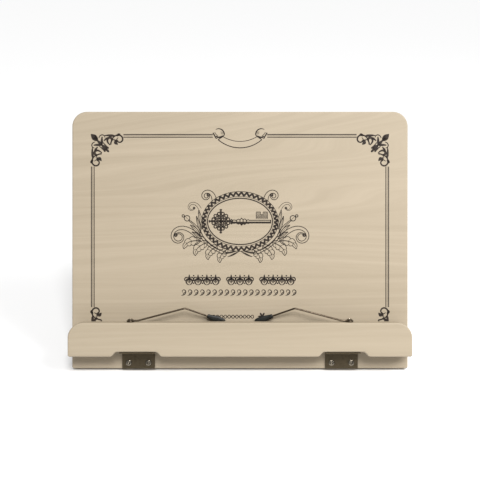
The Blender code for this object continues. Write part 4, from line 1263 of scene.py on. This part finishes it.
# %% The leg
LEG_RADIUS = 2.0 * MM
TOP_HALF, FOOT_HALF = 30.0 * MM, 85.0 * MM
TOP_BEND, FOOT_BEND = 10.0 * MM, 12.0 * MM
UPPER_LEG = 80.0 * MM
rung = np.array(JOINTS["leg_fold"]["pos_m"])
foot_bar = np.mean(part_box("foot_left"), axis=0) * (0.0, 1.0, 1.0)
up_leg = (rung - foot_bar) / np.linalg.norm(rung - foot_bar)
lower_leg = np.linalg.norm(rung - foot_bar)
leg_corners = [(-TOP_HALF, UPPER_LEG), (TOP_HALF, UPPER_LEG)]
leg_corners += [(FOOT_HALF, -lower_leg), (-FOOT_HALF, -lower_leg)]
loop = rounded(leg_corners, (TOP_BEND, TOP_BEND, FOOT_BEND, FOOT_BEND), step=3.0)
leg_path = rung + loop[:, :1] * ACROSS + loop[:, 1:] * up_leg
rows = tube_rows(leg_path, LEG_RADIUS, np.cross(ACROSS, up_leg), sides=20, closed=True)
faces = grid_faces(*rows.shape[:2], close_rows=True, close_columns=True)
new_piece("leg_loop", rows, faces, ZINC_STEEL, "leg", "leg_wire")
print("leg loop mm:", round(np.linalg.norm(np.diff(leg_path, axis=0), axis=1).sum() / MM))

# %% [markdown]
# ## The feet
#
# Two short rubber tubes on the foot bar keep the stand from sliding. Each is a profile turned about the bar:
# out along the grooved outside, round the ends, and back through the bore.

# %% Rubber feet
FOOT_LENGTH = 34.0 * MM
FOOT_RADIUS = 4.0 * MM
FOOT_SIDES = 40
GRIP_RINGS = 9
GROOVE_DEPTH, END_ROUNDING = 0.22 * MM, 0.6 * MM
GROOVE_BELOW = -0.55  # a groove is where the ring wave is lower than this
UNDER_SKIN, BORE_GAP = 0.01 * MM, 0.12 * MM
ROUND_FROM, ROUND_OVER = 0.475, 0.025  # shares of the length, from the foot's middle
station = np.linspace(-0.5, 0.5, 180)
groove = GROOVE_DEPTH * (np.cos(2 * np.pi * GRIP_RINGS * station) < GROOVE_BELOW)
end_round = END_ROUNDING * np.clip((np.abs(station) - ROUND_FROM) / ROUND_OVER, 0, 1) ** 2
outer = FOOT_RADIUS - UNDER_SKIN - groove - end_round
profile_x = np.concatenate((station, [0.5, -0.5])) * FOOT_LENGTH
profile_r = np.concatenate((outer, [LEG_RADIUS + BORE_GAP] * 2))
turn = np.linspace(0, 2 * np.pi, FOOT_SIDES, endpoint=False)
turned = np.stack(
    (
        np.broadcast_to(profile_x[:, None], (len(profile_x), FOOT_SIDES)),
        profile_r[:, None] * np.cos(turn),
        profile_r[:, None] * np.sin(turn),
    ),
    axis=-1,
)
for side in SIDES:
    placed = np.mean(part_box(f"foot_{side}"), axis=0) + turned
    faces = grid_faces(*placed.shape[:2], close_rows=True, close_columns=True)
    new_piece(f"rubber_foot_{side}", placed, faces, FOOT_RUBBER, "leg", f"foot_{side}")
print("foot faces:", len(faces))

# %% [markdown]
# ## The floor
#
# The setting is plain: one pale, matt floor, far larger than the stand. In a low view its edge is the horizon.

# %% Floor
FLOOR_SIZE = 12.0
FLOOR_GREY = 0.84
floor_corners = FLOOR_SIZE / 2 * np.array(((-1, -1, 0), (1, -1, 0), (1, 1, 0), (-1, 1, 0)))
floor_mesh = bpy.data.meshes.new("floor")
floor_mesh.from_pydata(floor_corners.tolist(), [], [(0, 1, 2, 3)])
floor = bpy.data.objects.new("floor", floor_mesh)
bpy.context.scene.collection.objects.link(floor)
floor_finish = bpy.data.materials.new("pale floor")
floor_finish.use_nodes = True
floor_shader = floor_finish.node_tree.nodes["Principled BSDF"]
floor_shader.inputs["Base Color"].default_value = (FLOOR_GREY, FLOOR_GREY, FLOOR_GREY, 1.0)
floor_shader.inputs["Roughness"].default_value = 0.9
floor_shader.inputs["Specular IOR Level"].default_value = 0.1
floor_mesh.materials.append(floor_finish)

# %% [markdown]
# ## Light
#
# There are a broad distant lamp in front and above, a small near one on the right, and an even sky. The
# distant lamp lights the whole floor alike, so that it stays white all the way back, and it comes from
# above, so that the ledge shades the strip below it. The near lamp makes the board a little brighter at
# its right side.


# %% Lamps and sky
def add_light(name, kind, towards, place=(0.0, 0.0, 0.0), **settings):
    """A lamp at a place. towards points out of the lamp's back, the way that its light comes from."""
    lamp = bpy.data.lights.new(name, kind)
    for key, value in settings.items():
        setattr(lamp, key, value)
    holder = bpy.data.objects.new(name, lamp)
    bpy.context.scene.collection.objects.link(holder)
    holder.location = place
    holder.rotation_euler = Vector(towards).to_track_quat("Z", "Y").to_euler()
    return holder


KEY_FROM = 0.10 * ACROSS + 0.53 * UP + 0.80 * OUT
KEY_RADIANCE = 0.97  # what a white sheet facing the key lamp would show
KEY_ANGLE = 24.0
add_light("key lamp", "SUN", KEY_FROM, angle=np.radians(KEY_ANGLE), energy=np.pi * KEY_RADIANCE)
RIGHT_PLACE = np.array((0.85, -0.45, 0.95))
RIGHT_SIZE, RIGHT_POWER = 0.5, 12.5
to_lamp = RIGHT_PLACE - to_world((0.0, BOARD_HIGH[1] / 2, 0.0))
add_light("right lamp", "AREA", to_lamp, RIGHT_PLACE, shape="SQUARE", size=RIGHT_SIZE, energy=RIGHT_POWER)
SKY_STRENGTH = 0.35
world = bpy.data.worlds.new("soft sky")
world.use_nodes = True
sky = world.node_tree.nodes["Background"]
sky.inputs["Color"].default_value = (1.0, 1.0, 1.0, 1.0)
sky.inputs["Strength"].default_value = SKY_STRENGTH
bpy.context.scene.world = world
bpy.context.scene.view_settings.view_transform = "Standard"
print("lamps:", [light.name for light in bpy.data.lights])

# %% [markdown]
# ## The camera
#
# The camera looks straight at the board, along its face's own normal, at the height of the board's middle.
# The ledge's front face is nearer than the board, so at this distance it looks a little wider.

# %% Camera
CAMERA_DISTANCE = 0.718
CAMERA_HEIGHT = 0.130
SENSOR_WIDTH, LENS = 36.0, 53.2
eye_point = to_world((0.0, CAMERA_HEIGHT, CAMERA_DISTANCE))
camera_data = bpy.data.cameras.new("camera")
camera_data.sensor_width = SENSOR_WIDTH
camera_data.lens = LENS
camera = bpy.data.objects.new("camera", camera_data)
bpy.context.scene.collection.objects.link(camera)
camera.location = eye_point
camera.rotation_euler = (float(np.arctan2(-OUT[1], OUT[2])), 0.0, 0.0)
bpy.context.scene.camera = camera
print("camera at", np.round(eye_point, 3))
